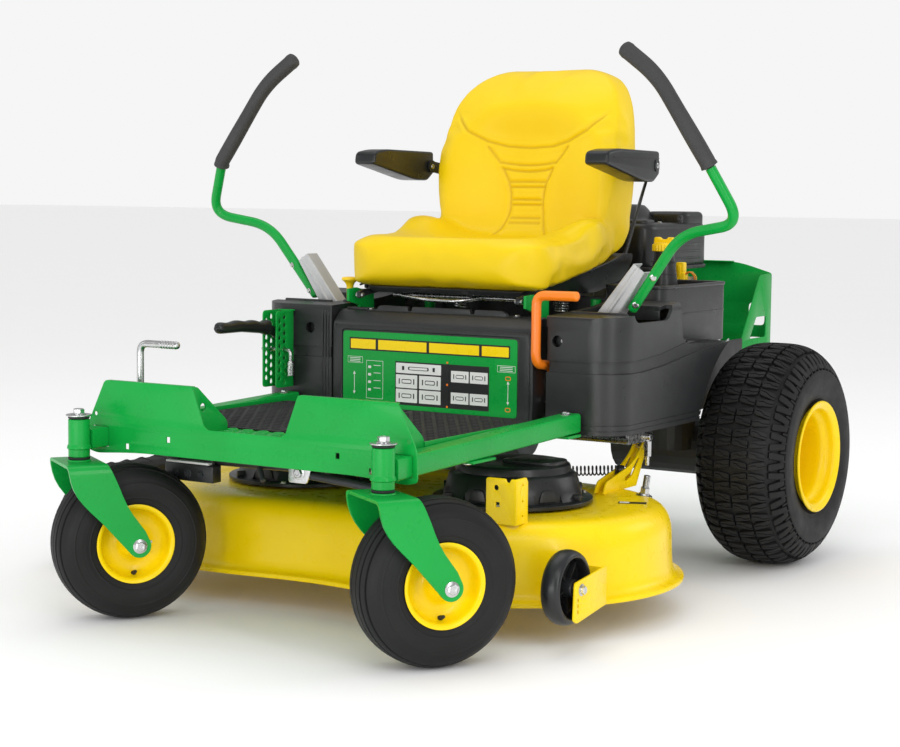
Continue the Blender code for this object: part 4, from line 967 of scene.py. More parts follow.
def make_console():
    """The upright cover between the pods, with a moulded border round its instruction panel."""
    low, high = CONSOLE
    middle, width = (low + high) / 2, high - low
    console = Piece("console_cover", "chassis", "plastic", "console")
    shape = soft([(BODY_FRONT, 0.326), (BODY_FRONT, 0.5056), (-0.579, 0.5315), (-0.556, 0.5315),
                  (-0.556, 0.326)], [0.002, 0.012, 0.008, 0, 0], 6)
    hollow = [(BODY_FRONT + WALL, 0.3), (BODY_FRONT + WALL, 0.5036), (-0.577, 0.5275), (-0.53, 0.5275),
              (-0.53, 0.3)]
    body = plate(shape, width, "YZ", middle, (), 0.003, 3)
    body = csg(body, plate(hollow, width - 2 * WALL, "YZ", middle))
    console.add(body)
    border = plate(rect((middle, 0.415), width - 0.014, 0.174, 0.01), 0.005, "XZ", BODY_FRONT + 0.0002,
                   [rect((0.0, 0.415), 0.409, 0.156, 0.009)], 0.0018, 3)
    console.add(border)
    flange = soft([(-0.145, 0.526), (-0.14, 0.538), (-0.133, 0.541), (-0.07, 0.541), (-0.068, 0.532),
                   (-0.06, 0.532), (-0.058, 0.541), (0.075, 0.541), (0.077, 0.532), (0.085, 0.532),
                   (0.087, 0.541), (0.148, 0.541), (0.156, 0.537), (0.161, 0.526)], 0.0025, 3)
    console.add(plate(flange, 0.01, "XZ", -0.572, (), 0.0012, 2))
    for x in (-0.16, 0.178):
        console.add(bolt((x, -0.569, 0.531), UP, 0.0055, 1.5, 0.5), ZINC)
        console.add(rod((x, -0.569, 0.529), (x, -0.569, 0.532), 0.012, 24))
    for x in (low + 0.008, high - 0.008):
        console.add(block((x - 0.0022, BODY_FRONT - 0.0022, 0.33), (x + 0.0022, BODY_FRONT + 0.001, 0.503),
                          0.001))
    add_chart(console)
    console.add(block((-0.19, -0.256, 0.43), (0.225, -0.251, 0.557), 0.0015))
    for y, z in ((-0.575, 0.533), (-0.56, 0.533)):
        console.add(block((-0.215, y - 0.0012, z - 0.002), (-0.165, y + 0.0012, z + 0.002), 0.0008))
    console.done()


def pod_profile(inset):
    lowest = 0.3175 if not inset else 0.2875
    radius = ARCH_RADIUS + inset
    start = 180 - math.degrees(math.asin((0.471 - inset - WHEEL_TOP) / radius))
    end = 180 - math.degrees(math.asin((0.3175 - WHEEL_TOP) / radius))
    curve = arc((0, WHEEL_TOP), radius, start, end, 20)
    last = [(curve[-1][0], lowest)] if inset > 0 else []
    return soft([(BODY_FRONT + inset, lowest), (BODY_FRONT + inset, 0.5385 - inset), (-0.52, 0.542 - inset),
                 (-0.42, 0.548 - inset), (-0.34 - inset, 0.56 - inset), (-0.327 - inset, 0.488 - inset),
                 (-0.31 - inset, 0.484 - inset)], [0.002, 0.007, 0.05, 0.06, 0.008, 0.006, 0.006],
                6) + curve + last


def pod_plan(side, inset):
    inner, outer = POD_INNER[side] + inset, POD_OUTER - inset
    front, rear = BODY_FRONT + inset, 0.02
    corner = arc((outer - 0.065, front + 0.065), 0.065, -90, 0, 28)
    lip = soft([(inner, rear), (inner, front), (inner + 0.02, front)], [0, 0.004, 0], 3)[1:-1]
    return flip(lip + corner + [(outer, rear), (inner, rear)], side)


def pod_section(side, inset):
    outer, inner = POD_OUTER - inset, POD_INNER[side] - 0.01
    return flip(soft([(inner, 0.25), (outer, 0.25), (outer, 0.548), (outer - 0.006, 0.562), (inner, 0.572)],
                     [0, 0, 0.008, 0.005, 0], 5), side)


def pod_solid(side, inset):
    inner, outer = POD_INNER[side] - 0.01, POD_OUTER + 0.01
    body = plate(pod_profile(inset), outer - inner, "YZ", side * (inner + outer) / 2)
    body = csg(body, plate(pod_plan(side, inset), 0.6, "XY", 0.45), "INTERSECT")
    return csg(body, plate(pod_section(side, inset), 0.8, "XZ", -0.3), "INTERSECT")


def pod_band(side, upper, lower, inset):
    """The layer of a pod's wall between two lines of its side view, inset deep."""
    inner, outer = POD_INNER[side] - 0.02, POD_OUTER + 0.02
    slab = plate(upper + lower[::-1], outer - inner, "YZ", side * (inner + outer) / 2)
    return csg(slab, pod_solid(side, inset))


def make_pod(side, word):
    """A moulded fender pod: recessed waistline, ribbed hem, lever slot and arch lip."""
    pod = Piece("fender_pod_" + word, "chassis", "plastic", "fender_" + word)
    body = csg(pod_solid(side, 0.0), pod_solid(side, WALL + 0.003))
    upper = [(-0.64, 0.455), (-0.52, 0.455), (-0.42, 0.462), (-0.32, 0.476), (-0.08, 0.49)]
    lower = [(-0.64, 0.433), (-0.5, 0.433), (-0.4, 0.44), (-0.3, 0.453), (-0.08, 0.472)]
    body = csg(body, pod_band(side, upper, lower, 0.0045))
    border = [(-0.64, 0.5175), (-0.5, 0.519), (-0.42, 0.525), (-0.345, 0.535), (-0.31, 0.535)]
    waist = [(-0.64, 0.456), (-0.52, 0.456), (-0.42, 0.463), (-0.31, 0.479)]
    body = csg(body, pod_band(side, border, waist, 0.0014))
    dip = soft([(-0.556, 0.58), (-0.538, 0.5265), (-0.392, 0.5265), (-0.364, 0.58)], [0.0, 0.02, 0.02, 0.0],
               6)
    body = csg(body, plate(dip, 0.036, "YZ", side * 0.416))
    for top, bottom in ((0.339, 0.3365), (0.329, 0.3265)):
        body = csg(body, pod_band(side, [(-0.64, top), (0.0, top)], [(-0.64, bottom), (0.0, bottom)],
                   0.0015))
    slot = rect((side * 0.3415, -0.47), 0.131, 0.13, 0.018)
    body = csg(body, plate(slot, 0.16, "XY", 0.55))
    body = csg(body, rod((side * 0.2856, -0.7, 0.4915), (side * 0.2856, BODY_FRONT + 0.02, 0.4915), 0.011,
                         28))
    if side == RIGHT:
        body = csg(body, block((-0.3505, -0.7, 0.418), (-0.3345, -0.54, 0.512), 0.002))
    pod.add(body)
    for y in (-0.538, -0.402):
        pod.add(block((side * 0.279, y - 0.003, 0.525), (side * 0.398, y + 0.003,
                      0.545 + (y + 0.538) * 0.06), 0.002))
    pod.add(bolt((side * 0.2856 + 0.005, BODY_FRONT + 0.016, 0.4915), FORWARD, 0.0036, 1.3, 0.6), PALE_AND_HIGHLIGHT)
    pod.add(rod((side * 0.2856, BODY_FRONT + 0.034, 0.4915), (side * 0.2856, BODY_FRONT + 0.016, 0.4915),
                0.0125, 24), SMOOTH)
    edge = [(side * (POD_OUTER - 0.0025), y, z) for y, z in arc((0, WHEEL_TOP), ARCH_RADIUS + 0.0014, 114,
            158, 30)]
    pod.add(sweep(edge, rect((0, 0), 0.006, 0.0024, 0.0008), up=(1, 0, 0)), STEEL)
    # A near-black sheet between the tyre and the frame, seen through the gap behind the arch: dark inner
    # fender parts with painted shade over them.
    pod.add(block((side * 0.332, -0.262, 0.318), (side * 0.336, 0.14, 0.456), 0.0015), DARK_AND_SHADE)
    for step in (0.008, 0.015, 0.022) if side == RIGHT else ():
        x = side * (POD_INNER[side] + step)
        bead = [(x, BODY_FRONT - 0.0002, z) for z in (0.32, 0.432, 0.442, 0.528)]
        pod.add(tube(bead, 0.0016, 10))
    pod.done(edge=0.0008, angle=26)


for each_side, each_word in SIDES:
    make_pod(each_side, each_word)
make_console()


# ---------------------------------------------------------------- control levers, knobs and pedal

SWING_AT = Vector((0.32, -0.468, 0.53))
PUSH_Z = 0.455
ARM_X = -0.3425
ARM_PIVOT = (-0.47, 0.4)
PIN_AT = (-0.64, 0.446)


def even(points, count):
    """The same path with its points at even steps."""
    points = [Vector(p) for p in points]
    steps = [0.0]
    for a, b in zip(points, points[1:]):
        steps.append(steps[-1] + (b - a).length)
    path = []
    for i in range(count):
        want = steps[-1] * i / (count - 1)
        k = min(max(bisect.bisect_left(steps, want), 1), len(steps) - 1)
        t = (want - steps[k - 1]) / max(steps[k] - steps[k - 1], 1e-9)
        path.append(points[k - 1].lerp(points[k], t))
    return path


def capped(points, radius, round_start=0.0, round_end=0.0, sides=24, count=60, detail=None):
    """A bar along a path whose ends are domed; detail(t) adds to its radius."""
    path = even(points, count)
    length = sum((b - a).length for a, b in zip(path, path[1:]))

    def section(t):
        size = radius + (detail(t) if detail else 0.0)
        for gap, reach in ((t * length, round_start), ((1 - t) * length, round_end)):
            if reach and gap < reach:
                size *= math.sqrt(max(1 - (1 - gap / reach) ** 2, 0.16))
        return circle(size, sides)
    return sweep(path, section)


def make_lap_lever(side, word):
    """The pivot, the folded channel, the bent tube and the soft grip of one control lever."""
    x, y, z = SWING_AT
    pivot = Piece("lever_pivot_" + word, "lap_pivot_" + word, "steel", "lap_pivot_" + word)
    pivot.add(block((side * (x - 0.012), y - 0.02, PUSH_Z - 0.012), (side * (x + 0.012), y + 0.02, z - 0.03),
                    0.002))
    for end in (-1, 1):
        pivot.add(block((side * (x - 0.008), y + end * 0.024, z - 0.045), (side * (x + 0.008),
                        y + end * 0.0275, z + 0.007), 0.0008))
    pivot.add(block((side * (x - 0.008), y - 0.0275, z - 0.048), (side * (x + 0.008), y + 0.0275, z - 0.044),
                    0.0008))
    pivot.add(rod((side * x, y - 0.029, z), (side * x, y + 0.029, z), 0.0045, 18), ZINC)
    pivot.add(rod((side * (x - 0.03), y, PUSH_Z), (side * (x + 0.06), y, PUSH_Z), 0.01, 28), ZINC)
    pivot.add(bolt((side * (x + 0.06), y, PUSH_Z), (side, 0, 0), 0.0065, 1.4, 0.6), ZINC)
    pivot.add(bolt((side * (x - 0.03), y, PUSH_Z), (-side, 0, 0), 0.0065, 1.4, 0.6), ZINC)
    pivot.done(edge=0.0004)

    channel = Piece("lever_channel_" + word, "lap_lever_" + word, "steel", "lap_channel_" + word)
    start = Vector((side * (x - 0.002), y - 0.019, z - 0.006))
    end = Vector((side * (x + 0.073), y - 0.019, z + 0.098))

    def folded(t):
        w = 0.02 - 0.006 * t
        return [(-w, -0.036), (-w, -0.002), (-w + 0.002, 0.0), (-0.0046, 0.0), (-0.002, 0.003),
                (0.002, 0.003), (0.0046, 0.0), (w - 0.002, 0.0), (w, -0.002), (w, -0.036),
                (w - 0.0024, -0.036), (w - 0.0024, -0.004), (-w + 0.0024, -0.004), (-w + 0.0024, -0.036)]
    channel.add(sweep(even([start, end], 8), folded, up=FORWARD))
    channel.add(rod((side * x, y - 0.018, z), (side * x, y + 0.018, z), 0.01, 24))
    channel.done(edge=0.0004)

    lever = Piece("lever_tube_" + word, "lap_lever_" + word, "green", "lap_bar_" + word)
    way = [(0.369, -0.467, 0.545), (0.478, -0.487, 0.693), (0.611, -0.514, 0.716), (0.563, -0.5455, 0.816)]
    path = bend(flip(way, side), 0.045, 12)
    lever.add(capped(path, 0.01, 0.006, 0.0, 24, 110))
    for t in (0.1, 0.46):
        at = path[0].lerp(Vector(flip(way, side)[1]), t)
        face = Vector((side * 0.35, -0.86, -0.25)).normalized()
        lever.add(bolt(at + face * 0.0092, face, 0.0048, 1.35, 0.55), ZINC)
    lever.done()

    grip = Piece("lever_grip_" + word, "lap_lever_" + word, "foam", "lap_grip_" + word)
    last = bend(way, 0.045, 12)[-2:]
    ahead = (last[1] - last[0]).normalized()
    start = last[1] + ahead * 0.0003
    hold = [start, start + ahead * 0.014, Vector((0.45, -0.541, 0.985)), Vector((0.376, -0.535, 1.039))]
    hold = hold[:1] + bend(hold[1:], 0.04, 10)

    def swell(t):
        lip = 0.0014 * math.exp(-((t - 0.012) / 0.012) ** 2)
        rib = 0.0008 * math.exp(-((t - 0.955) / 0.01) ** 2)
        return lip + rib + 0.0005 * math.sin(t * 9.0)
    grip.add(capped(flip([tuple(p) for p in hold], side), 0.0152, 0.003, 0.007, 28, 120, swell))
    tip = Vector(flip([tuple(hold[-1])], side)[0])
    back = (tip - Vector(flip([tuple(hold[-2])], side)[0])).normalized()
    grip.add(rod(tip - back * 0.002, tip + back * 0.0006, 0.003, 16))
    grip.done(angle=50)


def make_brake():
    brake = Piece("brake_handle", "brake", "orange", "brake_lever")
    at = Vector((0.2482, -0.55, 0.37))
    way = [(0, 0, 0), (0, -0.006, 0.07), (0, -0.07, 0.078), (0, -0.07, 0.207), (0.09, -0.07, 0.2075)]
    path = bend([at + Vector(p) for p in way], 0.02, 10)
    brake.add(capped(path, 0.0092, 0.006, 0.0045, 24, 120))
    brake.add(rod(at + Vector((-0.01, 0, 0)), at + Vector((0.01, 0, 0)), 0.015, 28), ZINC)
    brake.add(bolt(at + Vector((-0.01, 0, 0)), (-1, 0, 0), 0.006, 1.4, 0.6), ZINC)
    brake.done(angle=50)


def teardrop(y, z, radius=0.0046):
    return [(y + u, z + v) for u, v in arc((0, 0), radius, 150, 390, 13)] + [(y, z + radius * 1.95)]


def make_height_control():
    """The flat lever with its ribbed grip, the slotted quadrant and the pin that sets it."""
    arm = Piece("height_arm_blade", "height_arm", "steel", "height_lever")
    view = soft([(-0.46, 0.3905), (-0.459, 0.406), (-0.625, 0.474), (-0.652, 0.494), (-0.674, 0.5),
                 (-0.68, 0.482), (-0.656, 0.475), (-0.63, 0.456)],
                [0.007, 0.007, 0.02, 0.02, 0.0, 0.0, 0.02, 0.02], 5)
    arm.add(plate(view, 0.006, "YZ", ARM_X, (), 0.001), SMOOTH)
    arm.add(rod((ARM_X - 0.008, *ARM_PIVOT), (ARM_X + 0.008, *ARM_PIVOT), 0.011, 24), ZINC)
    arm.done()

    def grip_section(t):
        rise = 0.0016 * math.cos(t * 2 * math.pi * 3.2) * (1 - t * 0.3)
        high = 0.0128 + 0.002 * math.exp(-((t - 0.05) / 0.05) ** 2) - 0.0022 * t
        wide = 0.0122 - 0.0012 * t
        if t > 0.92:
            scale = math.sqrt(max(1 - ((t - 0.92) / 0.08) ** 2, 0.1))
            high, wide = high * scale, wide * scale
        shape = []
        for i in range(24):
            a = 2 * math.pi * i / 24
            c, s = math.cos(a), math.sin(a)
            shape.append((wide * math.copysign(abs(c) ** 0.75, c),
                          (high + rise * (s > 0)) * math.copysign(abs(s) ** 0.75, s)))
        return shape
    grip = Piece("height_arm_grip", "height_arm", "plastic", "height_grip")
    way = even([(ARM_X, -0.6743, 0.4925), (ARM_X, -0.76, 0.4995), (ARM_X, -0.837, 0.4985)], 60)
    grip.add(sweep(way, grip_section, up=UP), SMOOTH)
    grip.add(rod((ARM_X, -0.834, 0.4985), (ARM_X, -0.8385, 0.4985), 0.005, 16), SMOOTH)
    grip.done(angle=50)

    view = soft([(-0.667, 0.37), (-0.667, 0.526), (-0.61, 0.526), (-0.61, 0.37)],
                [0.008, 0.01, 0.006, 0.004], 5)
    y, z = PIN_AT
    holes = [teardrop(y, z + 0.0165 * k) for k in range(-4, 5)]
    holes += [teardrop(y - 0.016, z + 0.00825 + 0.0165 * k) for k in range(-4, 4)]
    quadrant = Piece("height_plates", "chassis", "green", "height_quadrant")
    for x in (ARM_X + 0.0165, ARM_X - 0.0165):
        quadrant.add(plate(view, 0.003, "YZ", x, holes, 0.0005))
    for low, high in ((0.37, 0.415), (0.513, 0.5262)):
        quadrant.add(block((ARM_X - 0.018, -0.613, low), (ARM_X + 0.018, -0.61, high), SHEET_EDGE))
    quadrant.add(block((ARM_X - 0.018, -0.618, 0.524), (ARM_X + 0.02, -0.606, 0.5266), SHEET_EDGE))
    quadrant.done()

    pin = Piece("height_pin", "hitch_pin", "zinc", "hitch_pin")
    at = Vector((ARM_X, *PIN_AT))
    way = [(-0.04, 0, 0), (0.033, 0, 0), (0.033, 0, -0.048)]
    pin.add(capped(bend([at + Vector(p) for p in way], 0.01, 8), 0.0037, 0.003, 0.0, 18, 60))
    low = at + Vector((0.033, 0, -0.052))
    pin.add(rod(low, low + Vector((0, 0, 0.028)), 0.0072, 24, 0.001))
    pin.add(rod(low + Vector((0, 0, 0.027)), low + Vector((0, 0, 0.031)), 0.0056, 20))
    pin.done(angle=40)


def make_pedal():
    """The foot rod that helps to raise the deck, with its knurled tip."""
    pedal = Piece("lift_rod", "foot_pedal", "zinc", "lift_pedal")
    at = Vector((-0.284, -1.125, 0.325))
    way = [(0, 0, -0.012), (0, 0, 0.166), (0.09, 0, 0.166)]

    def knurl(t):
        return 0.0006 * (math.sin(t * 260) > 0) if t > 0.83 else 0.0
    path = bend([at + Vector(p) for p in way], 0.018, 8)
    pedal.add(capped(path, 0.0066, 0.0, 0.004, 20, 200, knurl))
    pedal.add(rod(at + Vector((0, 0, -0.014)), at + Vector((0, 0, -0.002)), 0.0098, 22))
    pedal.done(angle=40)


def make_small_controls():
    """The blade switch's yellow knob on its collar, and the throttle lever."""
    knob = Piece("blade_switch_knob", "pto", "yellow_plastic", "pto_knob")
    place = moved(-0.25, -0.517, 0.5373)
    knob.add(lathe([(0, 0.055), (0.013, 0.0548), (0.0163, 0.0535), (0.0172, 0.051), (0.0168, 0.0488),
                    (0.014, 0.0465), (0.01, 0.043), (0.0076, 0.038), (0.0068, 0.03), (0.0066, 0.0012),
                    (0, 0.0012)], 48, False, place))
    knob.add(lathe([(0, 0.0556), (0.006, 0.0554), (0.0064, 0.0545), (0, 0.054)], 24, False, place))
    knob.done(angle=40)
    collar = Piece("switch_collar", "chassis", "plastic")
    collar.add(lathe([(0.0078, 0.0), (0.0135, 0.0), (0.015, 0.002), (0.014, 0.007), (0.011, 0.009),
                      (0.0078, 0.009)], 40, True, place), SMOOTH)
    collar.done()
    throttle = Piece("throttle_handle", "throttle", "plastic", "throttle_lever")
    view = soft([(-0.374, 0.562), (-0.366, 0.562), (-0.364, 0.592), (-0.376, 0.592)], 0.003, 3)
    throttle.add(plate(view, 0.006, "YZ", -0.31, (), 0.0008), SMOOTH)
    throttle.add(block((-0.318, -0.381, 0.586), (-0.302, -0.359, 0.606), 0.005, 4), SMOOTH)
    for i in range(3):
        throttle.add(block((-0.3165, -0.377 + i * 0.006, 0.6055), (-0.3035, -0.375 + i * 0.006, 0.6068),
                           0.0005), SMOOTH)
    throttle.done()


for each_side, each_word in SIDES:
    make_lap_lever(each_side, each_word)
make_brake()
make_height_control()
make_pedal()
make_small_controls()


# ---------------------------------------------------------------- seat

SEAT_VOXEL = 0.0056
SEAT_CAP = 0.009
SMILE = [(-0.186, 0.936), (-0.143, 0.897), (-0.097, 0.8752), (-0.054, 0.8648), (0.0, 0.8616),
         (0.054, 0.8648), (0.097, 0.8752), (0.143, 0.897), (0.186, 0.936)]
FLANK_HIGH = [(0.095, 0.8638), (0.0665, 0.8304)]
FLANK_LOW = [(0.06, 0.82), (0.0445, 0.7895), (0.039, 0.765), (0.0385, 0.735), (0.043, 0.714), (0.05, 0.694),
             (0.068, 0.672), (0.092, 0.658)]
RUNGS = [(0.064, 0.831, -0.006), (0.057, 0.818, -0.006), (0.041, 0.7905, 0.0), (0.0405, 0.7795, 0.0),
         (0.033, 0.753, 0.0), (0.0335, 0.7425, 0.0), (0.0345, 0.715, 0.0), (0.0365, 0.705, 0.0),
         (0.053, 0.678, -0.003)]


def seat_form():
    """The seat's stuffed shape: a broad base with a rolled front, and a back that narrows upwards."""
    base_view = soft([(-0.545, 0.579), (-0.598, 0.59), (-0.606, 0.63), (-0.596, 0.676), (-0.43, 0.678),
                      (-0.245, 0.69), (-0.2, 0.69), (-0.2, 0.64), (-0.245, 0.627)],
                     [0.01, 0.03, 0.03, 0.035, 0.05, 0.02, 0.0, 0.0, 0.02], 6)
    base = plate(base_view, 0.476, "YZ")
    half_plan = [(0.21, -0.2), (0.238, -0.32), (0.238, -0.49), (0.226, -0.568), (0.16, -0.606)]
    plan = soft(mirrored(half_plan), [0.02, 0.06, 0.06, 0.04, 0.06, 0.06, 0.04, 0.06, 0.06, 0.02], 8)
    base = csg(base, plate(plan, 0.6, "XY", 0.66), "INTERSECT")
    back_view = soft([(-0.29, 0.65), (-0.262, 0.7), (-0.25, 0.86), (-0.205, 0.98), (-0.15, 1.04),
                      (-0.108, 1.042), (-0.083, 0.98), (-0.112, 0.72), (-0.16, 0.645), (-0.24, 0.63)],
                     [0.02, 0.03, 0.06, 0.06, 0.03, 0.03, 0.05, 0.06, 0.03, 0.02], 6)
    back = plate(back_view, 0.47, "YZ")
    half_face = [(0.2, 0.6), (0.208, 0.7), (0.226, 0.79), (0.219, 0.87), (0.206, 0.95), (0.172, 1.01),
                 (0.11, 1.04), (0.04, 1.045)]
    sizes = [0.0, 0.05, 0.05, 0.05, 0.05, 0.04, 0.04, 0.03]
    face = soft(mirrored(half_face), sizes + sizes[::-1], 6)
    back = csg(back, plate(face, 0.6, "XZ", -0.2), "INTERSECT")
    half_round = [(0.19, -0.3), (0.226, -0.245), (0.228, -0.18), (0.196, -0.118), (0.12, -0.078)]
    sizes = [0.01, 0.03, 0.04, 0.05, 0.05]
    plan = soft(mirrored(half_round), sizes + sizes[::-1], 6)
    back = csg(back, plate(plan, 0.8, "XY", 0.8), "INTERSECT")
    return csg(base, back, "UNION")


def coordinates(mesh):
    co = np.empty(len(mesh.vertices) * 3, np.float64)
    mesh.vertices.foreach_get("co", co)
    return co.reshape(-1, 3)


def normals(mesh):
    out = np.empty(len(mesh.vertices) * 3, np.float64)
    mesh.vertices.foreach_get("normal", out)
    return out.reshape(-1, 3)


def put(mesh, co):
    mesh.vertices.foreach_set("co", co.astype(np.float32).ravel())
    mesh.update()


def hill(value, width):
    return np.exp(-(value / width) ** 2)


def ramp(value, low, high):
    t = np.clip((value - low) / (high - low), 0.0, 1.0)
    return t * t * (3 - 2 * t)


def remeshed(part, voxel, smoothing):
    step = part.modifiers.new("voxels", "REMESH")
    step.mode = "VOXEL"
    step.voxel_size = voxel
    soften = part.modifiers.new("soften", "SMOOTH")
    soften.factor = 0.5
    soften.iterations = smoothing
    mesh = evaluated(part)
    discard(part)
    return temp(mesh)


def mould(part, shrink):
    """Raises the bolsters, hollows the base and the back, and takes the filling's room off."""
    mesh = part.data
    co, out = coordinates(mesh), normals(mesh)
    x, y, z = co.T
    top = ramp(out[:, 2], 0.1, 0.7) * ramp(z, 0.63, 0.67) * (1 - ramp(z, 0.74, 0.8))
    side = np.abs(x)
    move = np.zeros_like(co)
    hump = hill(y + 0.325, 0.075) * ramp(side, 0.11, 0.2) * ramp(z, 0.62, 0.68)
    move[:, 2] += 0.03 * hump * top
    move[:, 2] -= 0.016 * top * (1 - ramp(side, 0.05, 0.17)) * ramp(y, -0.57, -0.48)
    front = ramp(-out[:, 1], 0.1, 0.7) * ramp(z, 0.66, 0.72) * ramp(y, -0.34, -0.3)
    hollow = (1 - ramp(side, 0.03, 0.19)) * (1 - ramp(z, 0.87, 0.97))
    move[:, 1] += 0.034 * front * hollow
    move[:, 1] -= 0.012 * front * hill(z - 0.935, 0.05) * (1 - ramp(side, 0.08, 0.2))
    put(mesh, co + move - out * shrink)


def inflate(part):
    """Fills the cover with pressure, as cloth, and holds how far any point may move."""
    before = coordinates(part.data)
    cloth = part.modifiers.new("cover", "CLOTH")
    cloth.settings.use_pressure = True
    cloth.settings.uniform_pressure_force = 4.0
    cloth.settings.effector_weights.gravity = 0.0
    cloth.settings.quality = 4
    cloth.settings.bending_stiffness = 12.0
    cloth.settings.compression_stiffness = 8.0
    cloth.settings.tension_stiffness = 8.0
    cloth.collision_settings.use_collision = False
    scene = bpy.context.scene
    first = scene.frame_current
    for step in range(1, 21):
        scene.frame_set(step)
    mesh = evaluated(part)
    after = coordinates(mesh)
    bpy.data.meshes.remove(mesh)
    part.modifiers.clear()
    scene.frame_set(first)
    move = after - before
    move -= move.mean(axis=0)
    size = np.linalg.norm(move, axis=1, keepdims=True)
    put(part.data, before + move * np.minimum(1.0, SEAT_CAP / np.maximum(size, 1e-9)))


def away(points, line):
    """Distance of each point from a polyline, both in a plane."""
    best = np.full(len(points), 1e9)
    line = np.array(line, float)
    for a, b in zip(line, line[1:]):
        d = b - a
        t = np.clip(((points - a) @ d) / (d @ d), 0.0, 1.0)
        best = np.minimum(best, np.linalg.norm(points - (a + t[:, None] * d), axis=1))
    return best


def seat_lines():
    lines = [SMILE]
    for side in (1, -1):
        lines += [flip(FLANK_HIGH, side), flip(FLANK_LOW, side)]
    for half, z, dip in RUNGS:
        lines.append([(half * t, z + dip * (1 - t * t)) for t in np.linspace(-1, 1, 7)])
    return lines


def sew(part):
    """Presses the seams into the back and marks them for the painted seam shade, with a soft roll on both
    sides.
    """
    mesh = part.data
    co, out = coordinates(mesh), normals(mesh)
    facing = ramp(-out[:, 1], 0.15, 0.45) * ramp(co[:, 2], 0.63, 0.66) * ramp(co[:, 1], -0.45, -0.4)
    seam = np.zeros(len(co))
    for line in seat_lines():
        gap = away(co[:, [0, 2]], line)
        if line is SMILE:
            ends = 1 - ramp(np.abs(co[:, 0]), 0.165, 0.19)
        else:
            ends = 1.0
        seam = np.maximum(seam, hill(gap, 0.003) * ends)
        co += out * (0.0009 * hill(gap - 0.0085, 0.0045) * facing * ends)[:, None]
    co -= out * (0.0032 * seam * facing)[:, None]
    put(mesh, co)
    mark = mesh.attributes.new("seam", "FLOAT", "POINT")
    mark.data.foreach_set("value", (seam * facing).astype(np.float32))


def seat_vinyl():
    """The seat's moulded vinyl, with painted shade darkening its seam grooves."""
    n = Nodes("seat_vinyl")
    mark = n.node("ShaderNodeAttribute")
    mark.attribute_name = "seam"
    patches = n.span(n.noise(7.0, 4.0), 0.0, 1.0)
    ground = n.blend(patches, (0.82, 0.56, 0.0), (0.85, 0.6, 0.003))
    # Painted shade: the seam mark turns the colour darker amber along the pressed-in seams.
    depth = n.span(mark.outputs["Fac"], 0.0, 0.75, 0.25, 0.95)
    n.link(n.blend(depth, ground, (0.61, 0.37, 0.004)), n.shader.inputs["Base Color"])
    n.link(n.span(n.noise(30.0, 4.0), 0.36, 0.48), n.shader.inputs["Roughness"])
    relief = n.bump(n.cells(420), 0.14, 0.0004)
    relief = n.bump(n.noise(1500, 2.0), 0.15, 0.0003, relief)
    n.link(relief, n.shader.inputs["Normal"])
    n.shader.inputs["Specular IOR Level"].default_value = 0.28
    n.shader.inputs["Coat Weight"].default_value = 0.03
    return n.material


def make_cushion():
    part = remeshed(seat_form(), SEAT_VOXEL, 14)
    mould(part, 0.005)
    inflate(part)
    smooth = part.modifiers.new("soften", "SMOOTH")
    smooth.iterations = 16
    finer = part.modifiers.new("finer", "SUBSURF")
    finer.levels = finer.render_levels = 1
    mesh = evaluated(part)
    discard(part)
    part = temp(mesh)
    sew(part)
    seat = Piece("seat_cover", "seat", "vinyl", "seat_cushion")
    seat.add(part, seat_vinyl())
    cushion = seat.done(angle=80)


def make_seat_shell():
    """The black shell under the seat with its rim, slide rails and lugs."""
    shell = Piece("seat_shell", "seat", "plastic", "seat_pan")
    view = soft([(-0.545, 0.566), (-0.555, 0.578), (-0.242, 0.627), (-0.175, 0.644), (-0.145, 0.644),
                 (-0.1425, 0.59), (-0.24, 0.564)], [0.004, 0.004, 0.02, 0.02, 0.004, 0.02, 0.03], 5)
    body = plate(view, 0.46, "YZ", 0.0)
    taper = [(-0.17, 0.56), (0.17, 0.56), (0.208, 0.63), (0.208, 0.66), (-0.208, 0.66), (-0.208, 0.63)]
    body = csg(body, plate(soft(taper, 0.012, 4), 0.6, "XZ", -0.35), "INTERSECT")
    shell.add(body)
    for side in (1, -1):
        edge = [(side * 0.205, y, z) for y, z in ((-0.545, 0.579), (-0.242, 0.628), (-0.18, 0.644))]
        shell.add(tube(bend(edge, 0.03, 6), 0.0022, 10), SMOOTH)
        shell.add(plate(soft([(-0.582, 0.553), (-0.582, 0.567), (-0.56, 0.572), (-0.515, 0.572),
                              (-0.515, 0.564), (-0.56, 0.558)], 0.004, 3), 0.008, "YZ", side * 0.184, (),
                        0.001), SMOOTH)
        shell.add(rod((side * 0.176, -0.575, 0.56), (side * 0.193, -0.575, 0.56), 0.005, 14), ZINC)
        coil = []
        for i in range(6 * 14 + 1):
            angle = 2 * math.pi * i / 14
            coil.append((side * 0.12 + 0.015 * math.cos(angle), -0.29 + 0.015 * math.sin(angle),
                         0.559 - 0.0008 - 0.0052 * i / 14))
        shell.add(tube(coil, 0.0018, 6), ZINC)
    shell.add(rod((-0.15, -0.505, 0.56), (0.15, -0.505, 0.56), 0.0045, 12), ZINC)
    shell.add(tube(bend([(-0.11, -0.535, 0.56), (-0.04, -0.56, 0.556), (0.03, -0.56, 0.554),
                         (0.06, -0.52, 0.56)], 0.02, 6), 0.004, 12), ZINC)
    shell.done(edge=0.0008)


